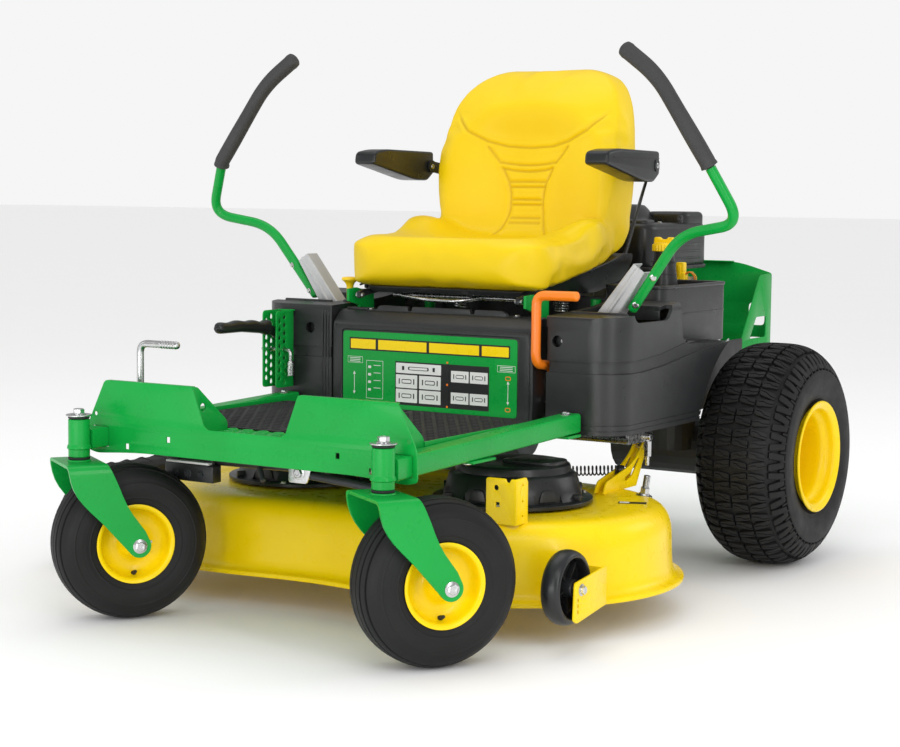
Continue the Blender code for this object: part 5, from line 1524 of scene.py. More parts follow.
def make_yoke():
    """The armrests' bracket: a bar behind the back with an arm forward to each armrest."""
    yoke = Piece("armrest_bracket", "seat", "plastic", "armrest_yoke")
    for side in (1, -1):
        way = [(side * 0.2415, -0.222, 0.822), (side * 0.2395, -0.14, 0.812), (side * 0.205, -0.092, 0.78),
               (side * 0.185, -0.1, 0.7), (side * 0.175, -0.125, 0.625)]
        yoke.add(sweep(bend(way, 0.03, 8), soft([(-0.0028, -0.012), (0.0028, -0.012), (0.0028, 0.012),
                       (-0.0028, 0.012)], 0.0015, 2), up=(0, 0.5, 1)), SMOOTH)
        yoke.add(rod((side * 0.238, -0.222, 0.822), (side * 0.295, -0.222, 0.822), 0.0058, 20), ZINC)
        yoke.add(lathe([(0, 0), (0.0135, 0), (0.0135, 0.004), (0.012, 0.0052), (0, 0.0052)], 28, False,
                       aim((side * 0.2395, -0.222, 0.822), (side, 0, 0))), SMOOTH)
    yoke.add(block((-0.185, -0.144, 0.605), (0.185, -0.129, 0.635), 0.003), SMOOTH)
    yoke.done()


def make_armrest(side, word):
    """A moulded armrest: flat top pad, wedge underneath, with its pivot cap."""
    arm = Piece("arm_pad_" + word, "armrest_" + word, "plastic", "armrest_" + word)
    y, z = -0.222, 0.822
    view = soft([(y - 0.216, z + 0.002), (y - 0.213, z + 0.027), (y - 0.17, z + 0.034),
                 (y + 0.014, z + 0.032), (y + 0.016, z - 0.014), (y - 0.008, z - 0.03),
                 (y - 0.05, z - 0.03)], [0.008, 0.014, 0.06, 0.006, 0.006, 0.006, 0.02], 5)
    arm.add(plate(view, 0.052, "YZ", side * 0.2715, (), 0.0065, 4), SMOOTH)
    groove = [(side * 0.2715 + side * 0.0262, y - 0.19 + i * 0.02, z + 0.017) for i in range(11)]
    arm.add(sweep(groove, rect((0, 0), 0.0016, 0.001), up=UP), SMOOTH)
    cap = soft([(y - 0.009, z - 0.009), (y + 0.009, z - 0.009), (y + 0.009, z + 0.015),
                (y - 0.009, z + 0.015)], 0.009, 6)
    arm.add(plate(cap, 0.003, "YZ", side * 0.298, (), 0.0008), SMOOTH)
    arm.add(bolt((side * 0.2995, y, z + 0.003), (side, 0, 0), 0.0042, 1.3, 0.4), ZINC)
    arm.done()


make_cushion()
make_seat_shell()
make_yoke()
for each_side, each_word in SIDES:
    make_armrest(each_side, each_word)


# ---------------------------------------------------------------- mower deck

LOBE_X = 0.24
LOBE_Y = -0.685
LOBE_RADIUS = 0.32
DECK_TOP = 0.2


def lobe_outline(inset, count=46):
    reach = LOBE_RADIUS - inset
    left = arc((LOBE_X, LOBE_Y), reach, -90, 90, count)
    right = arc((-LOBE_X, LOBE_Y), reach, 90, 270, count)
    front = []
    for i in range(1, 24):
        x = -LOBE_X + 2 * LOBE_X * i / 24
        dip = 0.011 * (1 + math.cos(math.pi * x / LOBE_X))
        front.append((x, LOBE_Y - reach + dip))
    rear = [(LOBE_X - 2 * LOBE_X * i / 12, LOBE_Y + reach) for i in range(1, 12)]
    return left + rear + right + front


DECK_WALL = [(0.003, 0.0608), (0.0008, 0.0612), (0.0, 0.063), (0.0, 0.066), (0.0012, 0.0685), (0.004, 0.07),
             (0.0085, 0.0706), (0.013, 0.0722), (0.017, 0.0758), (0.02, 0.0815), (0.0218, 0.09),
             (0.0228, 0.105), (0.0236, 0.13), (0.0244, 0.15), (0.0258, 0.162), (0.029, 0.1735),
             (0.0345, 0.184), (0.042, 0.1918), (0.052, 0.197), (0.064, 0.1994), (0.076, 0.2), (0.118, 0.2),
             (0.124, 0.199), (0.13, 0.1965), (0.137, 0.1955)]


def deck_skin():
    """The stamped shell, lofted over its two-lobed outline and given its sheet's thickness."""
    rings = [[(x, y, z) for x, y in lobe_outline(inset)] for inset, z in DECK_WALL]
    count = len(rings[0])
    verts = [point for level in rings for point in level]
    faces = []
    for level in range(len(rings) - 1):
        for i in range(count):
            j = (i + 1) % count
            a, b = level * count, (level + 1) * count
            faces.append((a + i, a + j, b + j, b + i))
    top = (len(rings) - 1) * count
    faces.append(tuple(top + i for i in range(count)))
    shell = raw(verts, faces)
    skin = shell.modifiers.new("sheet", "SOLIDIFY")
    skin.thickness = 0.003
    skin.offset = -1.0
    mesh = evaluated(shell)
    discard(shell)
    return temp(tidy(mesh))


def make_deck():
    deck = Piece("deck_housing", "deck", "yellow", "deck_shell")
    shell = deck_skin()
    shell = csg(shell, block((-0.64, -0.86, 0.04), (-0.48, -0.56, 0.158), 0.004))
    for side in (1, -1):
        shell = csg(shell, rod((side * LOBE_X, LOBE_Y, 0.15), (side * LOBE_X, LOBE_Y, 0.25), 0.03, 28))
    deck.add(shell)
    front = soft([(0.33, 0.198), (0.39, 0.198), (0.39, 0.278), (0.38, 0.278), (0.377, 0.2715),
                  (0.371, 0.2715), (0.368, 0.278), (0.33, 0.278)],
                 [0, 0, 0.003, 0.002, 0.002, 0.002, 0.002, 0.005], 3)
    holes = [ring((0.35, 0.261), 0.005), rect((0.353, 0.232), 0.0085, 0.0085)]
    deck.add(plate(front, 0.004, "XZ", -0.93, holes, SHEET_EDGE))
    ear = soft([(-0.931, 0.198), (-0.89, 0.198), (-0.89, 0.27), (-0.896, 0.278), (-0.931, 0.278)],
               [0, 0, 0.002, 0.002, 0.003], 3)
    pins = [ring((-0.908, z), 0.0022, 12) for z in (0.266, 0.238, 0.212)]
    deck.add(plate(ear, 0.004, "YZ", 0.388, pins, SHEET_EDGE))
    for side in (1, -1):
        hanger = soft([(-0.53, 0.198), (-0.392, 0.198), (-0.364, 0.245), (-0.345, 0.272), (-0.352, 0.282),
                       (-0.366, 0.281), (-0.38, 0.264), (-0.415, 0.242), (-0.47, 0.23), (-0.518, 0.22)],
                      [0, 0, 0.02, 0.008, 0.006, 0.008, 0.02, 0.03, 0.02, 0.008], 4)
        slot = soft([(-0.44, 0.212), (-0.41, 0.22), (-0.378, 0.25), (-0.384, 0.254), (-0.415, 0.229),
                     (-0.442, 0.22)], 0.004, 3)
        bores = [slot, ring((-0.358, 0.272), 0.0042, 16)]
        deck.add(plate(hanger, 0.004, "YZ", side * 0.348, bores, SHEET_EDGE))
        deck.add(plate(hanger, 0.004, "YZ", side * 0.33, bores, SHEET_EDGE))
        deck.add(rod((side * 0.324, -0.358, 0.272), (side * 0.3545, -0.358, 0.272), 0.0042, 14), ZINC)
        deck.add(lathe([(0.0044, 0), (0.0085, 0), (0.0085, 0.0014), (0.0044, 0.0014)], 24, True,
                       aim((side * 0.3501, -0.358, 0.272), (side, 0, 0))), ZINC)
        deck.add(tube(bend([(side * 0.3535, -0.364, 0.27), (side * 0.3535, -0.35, 0.276),
                            (side * 0.356, -0.356, 0.254), (side * 0.3535, -0.366, 0.248)], 0.004, 5),
                      0.0009, 8), ZINC)
        add_washout_stud(deck, side)
        add_scalp_bracket(deck, side)
    deck.add(plate(soft([(-0.562, -0.88), (-0.49, -0.88), (-0.49, -0.54), (-0.562, -0.54)],
                        [0.01, 0, 0, 0.01]), 0.004, "XY", 0.162, (), SHEET_EDGE))
    deck.add(rod((-0.564, -0.87, 0.17), (-0.564, -0.55, 0.17), 0.004, 14), ZINC)
    for y in (-0.865, -0.555):
        deck.add(block((-0.57, y - 0.002, 0.16), (-0.556, y + 0.002, 0.178), 0.0008))
    add_deck_labels(deck)
    deck.done(angle=30)


def add_washout_stud(deck, side):
    x, y = side * 0.42, -0.5
    place = moved(x, y, 0.1975) @ turned(side * 0.16, "Y")
    deck.add(lathe([(0, 0), (0.015, 0), (0.016, 0.001), (0.015, 0.0022), (0.011, 0.0034), (0.0095, 0.006),
                    (0, 0.006)], 32, False, place), ZINC)
    deck.add(lathe([(0, 0.006), (0.0092, 0.006), (0.0092, 0.016), (0.008, 0.0175), (0, 0.0175)], 6, False,
                   place), ZINC)
    thread = [(0, 0.017)]
    for i in range(14):
        thread += [(0.0058, 0.0175 + i * 0.0016), (0.0064, 0.0183 + i * 0.0016)]
    thread += [(0.0056, 0.0405), (0, 0.0405)]
    deck.add(lathe(thread, 20, False, place), ZINC)


SCALP_AT = (0.505, -0.96, 0.11)


def add_scalp_bracket(deck, side):
    x, y, z = SCALP_AT
    view = soft([(y - 0.021, z + 0.0135), (y + 0.09, z + 0.026), (y + 0.09, z - 0.041),
                 (y - 0.015, z - 0.056), (y - 0.025, z - 0.05)], [0.006, 0.002, 0.002, 0.005, 0.005], 4)
    slots = [rect((y - 0.011, z - at), 0.0042, 0.0072, 0.002) for at in (0.017, 0.027, 0.037)]
    deck.add(plate(view, 0.004, "YZ", side * (x + 0.028), slots, SHEET_EDGE))
    tie = [(0.455, z - 0.035), (x + 0.0295, z - 0.03), (x + 0.0295, z + 0.023), (0.455, z + 0.023)]
    deck.add(plate(soft(flip(tie, side), [0, 0.003, 0.003, 0]), 0.004, "XZ", y + 0.088, (), SHEET_EDGE))
    deck.add(rod((side * (x - 0.019), y, z), (side * (x + 0.029), y, z), 0.005, 16), ZINC)
    deck.add(bolt((side * (x + 0.03), y, z - 0.001), (side, 0, 0), 0.0078, 1.35, 0.8, 0.4), ZINC)
    deck.add(bolt((side * (x - 0.019), y, z), (-side, 0, 0), 0.0078, 1.2, 0.5, 0.4), ZINC)
    back = [(y - 0.015, z + 0.012), (y + 0.09, z + 0.02), (y + 0.09, z - 0.035), (y - 0.015, z - 0.04)]
    deck.add(plate(soft(back, 0.006, 3), 0.003, "YZ", side * (x - 0.0205), (), 0.0005))


def add_deck_labels(deck):
    """Plain adhesive labels without any words."""
    for centre, turn, size in (((0.446, -0.6, 0.2004), 24, (0.052, 0.02)),
            ((0.315, -0.89, 0.2004), -8, (0.066, 0.012))):
        place = moved(*centre) @ turned(math.radians(turn))
        deck.add(plate(rect((0, 0), *size, 0.002), 0.0004, "XY", 0.0), DARK_AND_SHADE, place)
        inner = (size[0] * 0.34, size[1] * 0.62)
        deck.add(plate(rect((-size[0] * 0.28, 0), *inner, 0.001), 0.0004, "XY", 0.0003), PALE_AND_HIGHLIGHT, place)


def make_scalp_wheel(side, word):
    x, y, z = SCALP_AT
    place = HERE @ moved(side * x, y, z) @ turned(side * QUARTER, "Y")
    wheel = Piece("scalp_roller_" + word, "scalp_wheel_" + word, "plastic", "scalp_wheel_" + word,
                  place=place)
    section = [(0.048, -0.018), (0.054, -0.0178), (0.059, -0.0155), (0.062, -0.011), (0.0636, -0.0055),
               (0.064, 0.0), (0.0636, 0.0055), (0.062, 0.011), (0.0592, 0.0155), (0.056, 0.0177),
               (0.0535, 0.018), (0.0518, 0.0172), (0.051, 0.0155), (0.0502, -0.003), (0.048, -0.0055),
               (0.018, -0.007), (0.016, -0.006), (0.0155, 0.015), (0.0145, 0.0172), (0.0056, 0.0176),
               (0.0056, -0.018)]
    wheel.add(lathe(section, 56), SMOOTH)
    for turn in around(5):
        wheel.add(block((0.015, -0.0012, -0.0065), (0.0508, 0.0012, 0.004), 0.0004), SMOOTH, turn)
    wheel.done()


def make_belt_cover(side, word):
    """A moulded spindle cover: stepped top, sloped skirt with arched recesses, bolted flange."""
    cover = Piece("spindle_cover_" + word, "deck", "plastic", "belt_cover_" + word)
    low = DECK_TOP + 0.0003
    section = [(0.0, 0.27), (0.036, 0.27), (0.04, 0.2715), (0.096, 0.2718), (0.102, 0.2708), (0.106, 0.268),
               (0.1075, 0.264), (0.1085, 0.256), (0.115, 0.2535), (0.1185, 0.25), (0.127, 0.226),
               (0.131, 0.214), (0.1345, 0.209), (0.14, 0.2072), (0.149, 0.2068), (0.15, 0.2055), (0.15, low),
               (0.125, low), (0.113, 0.24), (0.098, 0.26), (0.0, 0.264)]
    place = moved(side * LOBE_X, LOBE_Y, 0)
    body = lathe(section, 96, False, place)
    for turn in around(6, 30):
        window = plate(soft([(-0.03, 0.208), (0.03, 0.208), (0.024, 0.242), (-0.024, 0.242)],
                            [0.004, 0.004, 0.016, 0.016], 6), 0.05, "YZ", 0.15)
        window.data.transform(place @ turn)
        body = csg(body, window)
    cover.add(body, SMOOTH)
    for turn in around(6, 30):
        cover.add(plate(soft([(-0.018, 0.21), (0.018, 0.21), (0.013, 0.233), (-0.013, 0.233)],
                             [0.003, 0.003, 0.01, 0.01], 5), 0.012, "YZ", 0.1225, (), 0.0015), SMOOTH,
                  place @ turn)
    for turn in around(6):
        cover.add(block((0.115, -0.004, 0.206), (0.144, 0.004, 0.22), 0.0015), SMOOTH, place @ turn)
    hump = soft([(0.0, -0.036), (0.088, -0.036), (0.1, -0.02), (0.1, 0.03), (0.084, 0.046), (0.0, 0.046)],
                [0, 0.012, 0.01, 0.01, 0.012, 0], 4)
    cover.add(plate(flip(hump, side), 0.0075, "XY", 0.2745, (), 0.0015), SMOOTH, place)
    for u, v in arc((0, 0), 0.142, -70, 170, 3):
        cover.add(bolt((u, v, 0.2068), UP, 0.0055, 1.5, 0.6), ZINC, place)
    cover.add(lathe([(0, 0.2695), (0.021, 0.2695), (0.0215, 0.2725), (0.017, 0.2745), (0, 0.2745)], 32,
                    False, place), ZINC)
    cover.done()


def make_spring():
    """The belt idler's coil spring behind a spindle cover, with its hooked rod."""
    spring = Piece("idler_spring_left", "deck", "casting")
    start = Vector((0.25, -0.52, 0.233))
    end = Vector((0.335, -0.44, 0.233))
    turns, steps, radius = 15, 14, 0.0088
    count = turns * steps
    ahead = (end - start).normalized()
    flat = ahead.cross(Vector(UP))
    coil = []
    for i in range(count + 1):
        t, angle = i / count, 2 * math.pi * turns * i / count
        around_wire = flat * math.cos(angle) + Vector(UP) * math.sin(angle)
        coil.append(start + (end - start) * t + around_wire * radius)
    spring.add(tube(coil, 0.0015, 6))
    spring.add(rod(start - ahead * 0.01, start + ahead * 0.004, 0.01), SMOOTH)
    spring.add(rod(end - ahead * 0.004, end + ahead * 0.01, 0.01), SMOOTH)
    spring.add(rod(end + ahead * 0.006, end + Vector((0, 0.02, -0.034)), 0.0035, 10), ZINC)
    spring.done()


def make_chute():
    chute = Piece("chute_deflector", "chute", "rubber", "discharge_chute")
    view = [(-0.564, 0.171), (-0.566, 0.202), (-0.58, 0.213), (-0.605, 0.215), (-0.65, 0.198), (-0.7, 0.156),
            (-0.73, 0.108), (-0.738, 0.07), (-0.733, 0.068), (-0.725, 0.105), (-0.696, 0.152),
            (-0.648, 0.193), (-0.604, 0.2105), (-0.583, 0.2085), (-0.571, 0.199), (-0.569, 0.174)]
    chute.add(plate(soft(view, 0.004, 3), 0.33, "XZ", -0.71))
    skirt = [(-0.57, 0.176), (-0.574, 0.205), (-0.605, 0.212), (-0.649, 0.195), (-0.698, 0.154),
             (-0.736, 0.069), (-0.7, 0.06), (-0.59, 0.1)]
    for y in (-0.873, -0.547):
        chute.add(plate(soft(skirt, 0.008, 4), 0.004, "XZ", y, (), 0.001))
    for i in range(7):
        y = -0.71 + (i - 3) * 0.046
        rib = soft([(-0.572, 0.206), (-0.605, 0.213), (-0.649, 0.1965), (-0.699, 0.155), (-0.697, 0.159),
                    (-0.647, 0.201), (-0.605, 0.218), (-0.578, 0.214)], 0.003, 3)
        chute.add(plate(rib, 0.004, "XZ", y, (), 0.0008))
    chute.done(edge=0.0012)


def make_link(side, word):
    """The threaded deck hanger link with its coupling nut, on the lift shaft's arm."""
    link = Piece("deck_link_" + word, "lift_shaft", "zinc")
    x = side * 0.366
    link.add(rod((x, -0.378, 0.295), (x, -0.378, 0.238), 0.0042, 14))
    link.add(lathe([(0, 0.0), (0.008, 0.0), (0.008, 0.03), (0, 0.03)], 6, False, moved(x, -0.378, 0.256)))
    link.add(rod((x - side * 0.006, -0.378, 0.295), (x + side * 0.008, -0.378, 0.295), 0.0078, 16))
    link.done(edge=0.0004)


for each_side, each_word in SIDES:
    make_scalp_wheel(each_side, each_word)
    make_belt_cover(each_side, each_word)
    make_link(each_side, each_word)
make_spring()
make_deck()
make_chute()


# ---------------------------------------------------------------- tank, engine, drive and guard

CAP_AT = (0.252, -0.085)


def make_shelf_box(side, name, node):
    """A moulded box on a pod's shelf, with a rolled rim, a parting line and a sunk top."""
    box = Piece(name, "chassis", "plastic", node)
    middle, size = (side * 0.294, -0.158), (0.132, 0.316)

    def layer(grow, corner, thickness, z, edge, holes=()):
        shape = soft([(side * 0.228 - side * grow, -0.316 - grow),
                      (side * 0.36 + side * grow, -0.316 - grow), (side * 0.36 + side * grow, grow),
                      (side * 0.228 - side * grow, grow)], corner, 7)
        return plate(shape, thickness, "XY", z, holes, edge, 3)
    body = layer(0.0, 0.028, 0.12, 0.524, 0.004)
    sink = plate(rect(middle, size[0] - 0.03, size[1] - 0.03, 0.02), 0.03, "XY", 0.588)
    box.add(csg(body, sink))
    hole = rect(middle, size[0] - 0.022, size[1] - 0.022, 0.022)
    box.add(layer(0.0022, 0.03, 0.007, 0.583, 0.0022, [hole]))
    box.add(layer(0.0012, 0.029, 0.0022, 0.528, 0.0008))
    for y in (-0.25, -0.19):
        box.add(block((side * 0.255, y - 0.004, 0.571), (side * 0.335, y + 0.004, 0.5775), 0.002))
    if side == LEFT:
        place = moved(*CAP_AT, 0.0)
        box.add(lathe([(0, 0.565), (0.03, 0.565), (0.029, 0.58), (0.024, 0.62), (0.0205, 0.639),
                       (0.0212, 0.648), (0, 0.648)], 48, False, place))
        for z in (0.6, 0.626):
            box.add(lathe([(0.02, z), (0.0275, z), (0.0275, z + 0.0015), (0.02, z + 0.0015)], 40, True,
                          place))
    box.done(edge=0.0005)


def make_fuel_cap():
    cap = Piece("fuel_cap_ribbed", "tank_cap", "yellow_plastic", "fuel_cap")
    x, y = CAP_AT
    ribs = []
    for i in range(144):
        angle = 2 * math.pi * i / 144
        radius = 0.0252 + 0.0008 * math.cos(24 * angle)
        ribs.append((x + radius * math.cos(angle), y + radius * math.sin(angle)))
    cap.add(plate(ribs, 0.014, "XY", 0.6556, (), 0.001))
    place = moved(x, y, 0.0)
    cap.add(lathe([(0, 0.65), (0.024, 0.65), (0.024, 0.663), (0.0225, 0.6655), (0.019, 0.6668), (0, 0.6668)],
                  48, False, place))
    wing = soft([(x - 0.023, 0.664), (x - 0.0215, 0.678), (x - 0.01, 0.678), (x - 0.006, 0.6735),
                 (x + 0.006, 0.6735), (x + 0.01, 0.678), (x + 0.0215, 0.678), (x + 0.023, 0.664)], 0.004, 4)
    cap.add(plate(wing, 0.012, "XZ", y, (), 0.002, 3))
    cap.done()


def make_blower():
    """The engine's black shroud: rounded box, round intake with louvres, and the filter cover."""
    shroud = Piece("engine_shroud", "chassis", "plastic", "blower_housing")

    def slab(low, high, corner, z_low, z_high, edge, paint=SMOOTH, steps=5):
        (x0, y0), (x1, y1) = low, high
        shape = soft([(x0, y0), (x1, y0), (x1, y1), (x0, y1)], corner, 8)
        shroud.add(plate(shape, z_high - z_low, "XY", (z_low + z_high) / 2, (), edge, steps), paint)
    slab((-0.188, -0.03), (0.188, 0.285), 0.045, 0.602, 0.705, 0.016)
    slab((-0.191, -0.033), (0.191, 0.288), 0.047, 0.603, 0.611, 0.002, PLASTIC)
    slab((0.078, 0.165), (0.18, 0.278), 0.028, 0.69, 0.729, 0.011)
    slab((-0.17, -0.015), (0.172, 0.045), 0.022, 0.695, 0.712, 0.006, PLASTIC)
    place = moved(-0.02, 0.15, 0.0)
    shroud.add(lathe([(0, 0.69), (0.126, 0.69), (0.125, 0.706), (0.118, 0.718), (0.102, 0.737),
                      (0.096, 0.742), (0.086, 0.744), (0.082, 0.74), (0.08, 0.737), (0, 0.737)], 72, False,
                     place))
    for turn in around(28):
        louvre = block((0.02, -0.0022, 0.735), (0.0815, 0.0022, 0.7425), 0.0008)
        shroud.add(louvre, SMOOTH, place @ turn)
    for radius in (0.022, 0.05, 0.078):
        shroud.add(lathe([(radius - 0.002, 0.736), (radius + 0.002, 0.736), (radius + 0.002, 0.7435),
                          (radius - 0.002, 0.7435)], 48, True, place), SMOOTH)
    for x, y in ((-0.165, 0.262), (0.055, 0.268), (-0.165, 0.03), (0.162, 0.075)):
        shroud.add(bolt((x, y, 0.7045), UP, 0.005, 1.5, 0.5), ZINC)
    for z in (0.625, 0.64, 0.655):
        for side in (1, -1):
            shroud.add(block((side * 0.1865, 0.06, z), (side * 0.1895, 0.23, z + 0.005), 0.0015))
    shroud.add(rod((0.118, -0.025, 0.56), (0.118, -0.025, 0.64), 0.02, 32, 0.003))
    shroud.add(rod((0.118, -0.025, 0.575), (0.118, -0.025, 0.58), 0.0225, 32, 0.001))
    shroud.done(edge=0.0005)


def make_engine():
    """Crankcase, finned heads with rocker covers, plugs, and the silencer behind."""
    engine = Piece("engine_twin", "chassis", "alloy", "engine_block")
    place = moved(0, 0.13, 0)
    engine.add(lathe([(0, 0.3645), (0.112, 0.3645), (0.115, 0.368), (0.115, 0.405), (0.109, 0.412),
                      (0.109, 0.56), (0.115, 0.568), (0.115, 0.595), (0, 0.595)], 56, False, place))
    for turn in around(24):
        fin = block((0.106, -0.0014, 0.415), (0.1135, 0.0014, 0.555), 0.0006)
        engine.add(fin, place=place @ turn)
    engine.add(block((-0.215, 0.03, 0.3645), (0.215, 0.23, 0.374), 0.002))
    for side in (1, -1):
        engine.add(block((side * 0.06, 0.06, 0.438), (side * 0.178, 0.165, 0.552), 0.006))
        for i in range(9):
            x = 0.098 + i * 0.0085
            engine.add(block((side * x, 0.051, 0.431), (side * (x + 0.003), 0.174, 0.559), 0.001))
        engine.add(block((side * 0.178, 0.062, 0.445), (side * 0.205, 0.163, 0.545), 0.007, 3), STEEL)
        for y, z in ((0.07, 0.453), (0.155, 0.453), (0.07, 0.537), (0.155, 0.537)):
            engine.add(bolt((side * 0.2045, y, z), (side, 0, 0), 0.0045, 1.3, 0.6), ZINC)
        engine.add(rod((side * 0.165, 0.058, 0.5), (side * 0.165, 0.028, 0.5), 0.008, 18), PALE_AND_HIGHLIGHT)
        engine.add(rod((side * 0.165, 0.032, 0.5), (side * 0.165, 0.018, 0.5), 0.01, 18), DARK_AND_SHADE)
        lead = bend([(side * 0.165, 0.02, 0.5), (side * 0.165, -0.005, 0.52), (side * 0.12, -0.005, 0.59)],
                    0.02, 6)
        engine.add(tube(lead, 0.0035, 10), DARK_AND_SHADE)
        pipe = bend([(side * 0.1, 0.17, 0.45), (side * 0.1, 0.23, 0.44), (side * 0.11, 0.27, 0.44)], 0.02, 6)
        engine.add(tube(pipe, 0.014, 18), CASTING)
    engine.add(rod((-0.15, 0.282, 0.44), (0.15, 0.282, 0.44), 0.055, 48, 0.01), CASTING)
    for x in (-0.12, 0.0, 0.12):
        engine.add(lathe([(0.053, -0.003), (0.0562, -0.003), (0.0562, 0.003), (0.053, 0.003)], 48, True,
                         aim((x, 0.282, 0.44), (1, 0, 0))), CASTING)
    engine.add(tube(bend([(0.09, 0.33, 0.43), (0.09, 0.365, 0.425), (0.125, 0.385, 0.4)], 0.02, 6), 0.013,
                    20), CASTING)
    for x, y in ((-0.195, 0.048), (0.195, 0.048), (-0.195, 0.212), (0.195, 0.212)):
        engine.add(bolt((x, y, 0.374), UP, 0.007, 1.4, 0.7), ZINC)
    engine.add(rod((0.1, 0.06, 0.4), (0.128, 0.018, 0.4), 0.032, 28), CASTING)
    engine.done(edge=0.0005)


def make_guard():
    """The folded guard behind the engine, with rounded windows and flanged edges."""
    guard = Piece("engine_guard", "chassis", "green", "rear_guard")
    back = soft([(0.28, 0.322), (0.28, 0.588), (0.19, 0.614), (-0.19, 0.614), (-0.28, 0.588),
                 (-0.28, 0.322)], [0.003, 0.006, 0.05, 0.05, 0.006, 0.003], 5)
    windows = [rect((x, z), w, 0.052, 0.01) for z in (0.412, 0.492) for x, w in ((-0.245, 0.04),
               (-0.1, 0.11), (0.1, 0.11), (0.245, 0.04))]
    guard.add(plate(back, 0.003, "XZ", 0.428, windows, SHEET_EDGE))
    wing = soft([(0.429, 0.322), (0.429, 0.588), (0.363, 0.585), (0.248, 0.42), (0.248, 0.322)],
                [0.003, 0.006, 0.012, 0.02, 0.004], 5)
    holes = [soft([(0.31, 0.442), (0.4, 0.442), (0.4, 0.49), (0.345, 0.49)], 0.006, 4), soft([(0.3, 0.352),
             (0.4, 0.352), (0.4, 0.398), (0.3, 0.398)], 0.006, 4)]
    for side in (1, -1):
        guard.add(plate(wing, 0.003, "YZ", side * 0.2785, holes, SHEET_EDGE))
        for y, z in ((0.27, 0.335), (0.39, 0.335)):
            guard.add(bolt((side * 0.28, y, z), (side, 0, 0), 0.007, 1.4, 0.6), ZINC)
    guard.add(block((-0.185, 0.412, 0.6115), (0.185, 0.429, 0.614), 0.0008))
    guard.add(block((-0.278, 0.41, 0.322), (0.278, 0.429, 0.3248), 0.0008))
    guard.done()


def make_connector():
    """The yellow plug with its leads beside the tank, and a bracket under it."""
    plug = Piece("wire_plug", "chassis", "yellow_plastic")
    x, y = 0.224, 0.058
    plug.add(block((x - 0.0125, y - 0.011, 0.556), (x + 0.0125, y + 0.011, 0.599), 0.0025))
    plug.add(block((x - 0.0095, y - 0.009, 0.597), (x + 0.0095, y + 0.009, 0.621), 0.003))
    plug.add(block((x - 0.0035, y - 0.0125, 0.59), (x + 0.0035, y - 0.008, 0.615), 0.001))
    plug.add(block((x - 0.014, y - 0.005, 0.583), (x + 0.014, y + 0.005, 0.588), 0.001))
    for i, paint in enumerate((ORANGE, DARK_AND_SHADE, CAP, DARK_AND_SHADE)):
        a = (i - 1.5) * 0.0036
        lead = bend([(x + 0.011, y + a, 0.596), (x + 0.024, y + a, 0.602), (x + 0.03, y + 0.012 + a, 0.59),
                     (x + 0.022, y + 0.026 + a, 0.565)], 0.006, 6)
        plug.add(tube(lead, 0.0014, 8), paint)
    plug.add(block((x - 0.014, y + 0.012, 0.552), (x + 0.026, y + 0.015, 0.59), 0.0008), STEEL)
    plug.add(block((x - 0.014, y - 0.012, 0.552), (x + 0.026, y + 0.015, 0.555), 0.0008), STEEL)
    plug.add(bolt((x + 0.016, y, 0.555), UP, 0.005, 1.4, 0.6), ZINC)
    plug.done()


make_shelf_box(LEFT, "tank_body", "fuel_tank")
make_shelf_box(RIGHT, "battery_case", "battery_box")
make_fuel_cap()
make_blower()
make_engine()
make_guard()
make_connector()


# ---------------------------------------------------------------- solids that stay as they are

KEPT = {"main_frame": GREEN, "transaxle_left": CASTING, "transaxle_right": CASTING, "lift_shaft": ZINC,
        "blade_left": STEEL, "blade_right": STEEL}


def dress_kept_nodes():
    """Gives the CAD solids that stay their finish and small rounded edges."""
    for name, paint in KEPT.items():
        node = frame["nodes"][name]
        node.data.materials.clear()
        node.data.materials.append(paint)
        weld = node.modifiers.new("weld", "WELD")
        weld.merge_threshold = 0.00002
        round_edges(node, 0.0008, 40)


dress_kept_nodes()


# ---------------------------------------------------------------- floor, light and camera

CAMERA_AT = Vector((2.0379, -3.7822, 0.7683))
CAMERA_TURN = (math.radians(32.076), math.radians(5.316), math.radians(0.5825))
LENS = 77.606
SHIFT = (0.0013, -0.0014)


def make_floor():
    size = 60.0
    floor = raw([(-size, -size, 0), (size, -size, 0), (size, size, 0), (-size, size, 0)], [(0, 1, 2, 3)])
    floor.name = "floor"
    n = Nodes("studio_floor")
    n.link(n.blend(n.noise(1.5, 2.0), (0.94, 0.94, 0.94), (0.955, 0.955, 0.955)),
           n.shader.inputs["Base Color"])
    n.shader.inputs["Roughness"].default_value = 0.75
    n.shader.inputs["Specular IOR Level"].default_value = 0.1
    floor.data.materials.append(n.material)


def lamp(name, at, target, size, power):
    light = bpy.data.lights.new(name, "AREA")
    light.shape = "RECTANGLE"
    light.size, light.size_y = size
    light.energy = power
    obj = bpy.data.objects.new(name, light)
    obj.location = at
    obj.rotation_euler = (Vector(target) - Vector(at)).to_track_quat("-Z", "Y").to_euler()
    bpy.context.scene.collection.objects.link(obj)


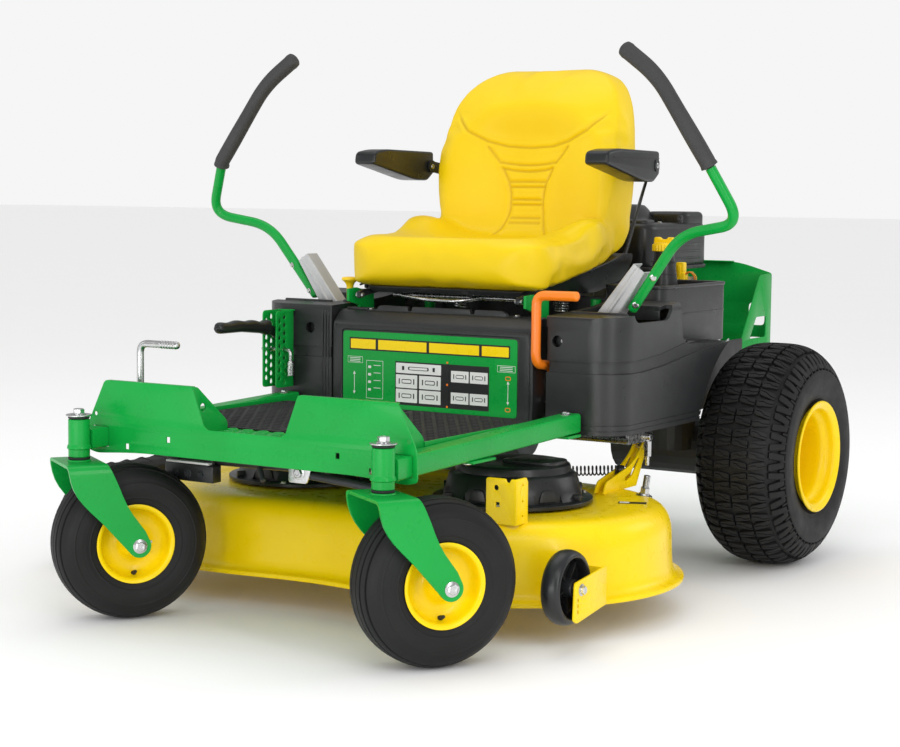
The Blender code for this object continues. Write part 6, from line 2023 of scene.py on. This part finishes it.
def make_light():
    world = bpy.data.worlds.new("studio")
    world.use_nodes = True
    world.node_tree.nodes["Background"].inputs[0].default_value = (1.0, 1.0, 1.0, 1.0)
    rays = world.node_tree.nodes.new("ShaderNodeLightPath")
    strength = world.node_tree.nodes.new("ShaderNodeMapRange")
    strength.inputs[3].default_value = 0.92
    strength.inputs[4].default_value = 0.42
    world.node_tree.links.new(rays.outputs["Is Glossy Ray"], strength.inputs[0])
    world.node_tree.links.new(strength.outputs[0], world.node_tree.nodes["Background"].inputs[1])
    bpy.context.scene.world = world
    lamp("key", (2.4, -3.2, 3.4), (0, 0, 0.5), (2.0, 1.6), 20)
    lamp("top", (-0.4, 0.2, 3.6), (0, 0, 0.4), (2.6, 2.2), 18)
    lamp("side", (-3.4, -2.2, 1.8), (0, 0, 0.5), (1.2, 2.4), 10)
    lamp("strip", (3.3, -2.0, 1.3), (0.3, -0.4, 0.4), (0.3, 2.2), 20)
    lamp("front", (1.0, -4.6, 1.2), (0.1, -0.6, 0.4), (0.3, 2.2), 15)
    lamp("low", (0.2, -4.4, 0.35), (0.0, -0.8, 0.15), (3.0, 0.6), 22)
    lamp("back", (2.8, 3.0, 2.2), (0, 0, 0.6), (2.0, 1.4), 14)


def make_camera():
    turn, tilt, roll = CAMERA_TURN
    back = Vector((math.sin(turn) * math.cos(tilt), -math.cos(turn) * math.cos(tilt), math.sin(tilt)))
    right = Vector((math.cos(turn), math.sin(turn), 0.0))
    up = back.cross(right)
    across = right * math.cos(roll) + up * math.sin(roll)
    above = up * math.cos(roll) - right * math.sin(roll)
    data = bpy.data.cameras.new("camera")
    data.lens = LENS
    data.sensor_width = 36.0
    data.shift_x, data.shift_y = SHIFT
    data.clip_end = 100.0
    obj = bpy.data.objects.new("camera", data)
    bpy.context.scene.collection.objects.link(obj)
    facing = Matrix((across, above, back)).transposed().to_4x4()
    obj.matrix_world = moved(*(CAMERA_AT + ORIGIN)) @ facing
    bpy.context.scene.camera = obj


make_floor()
make_light()
make_camera()
bpy.context.scene.view_settings.view_transform = "Standard"
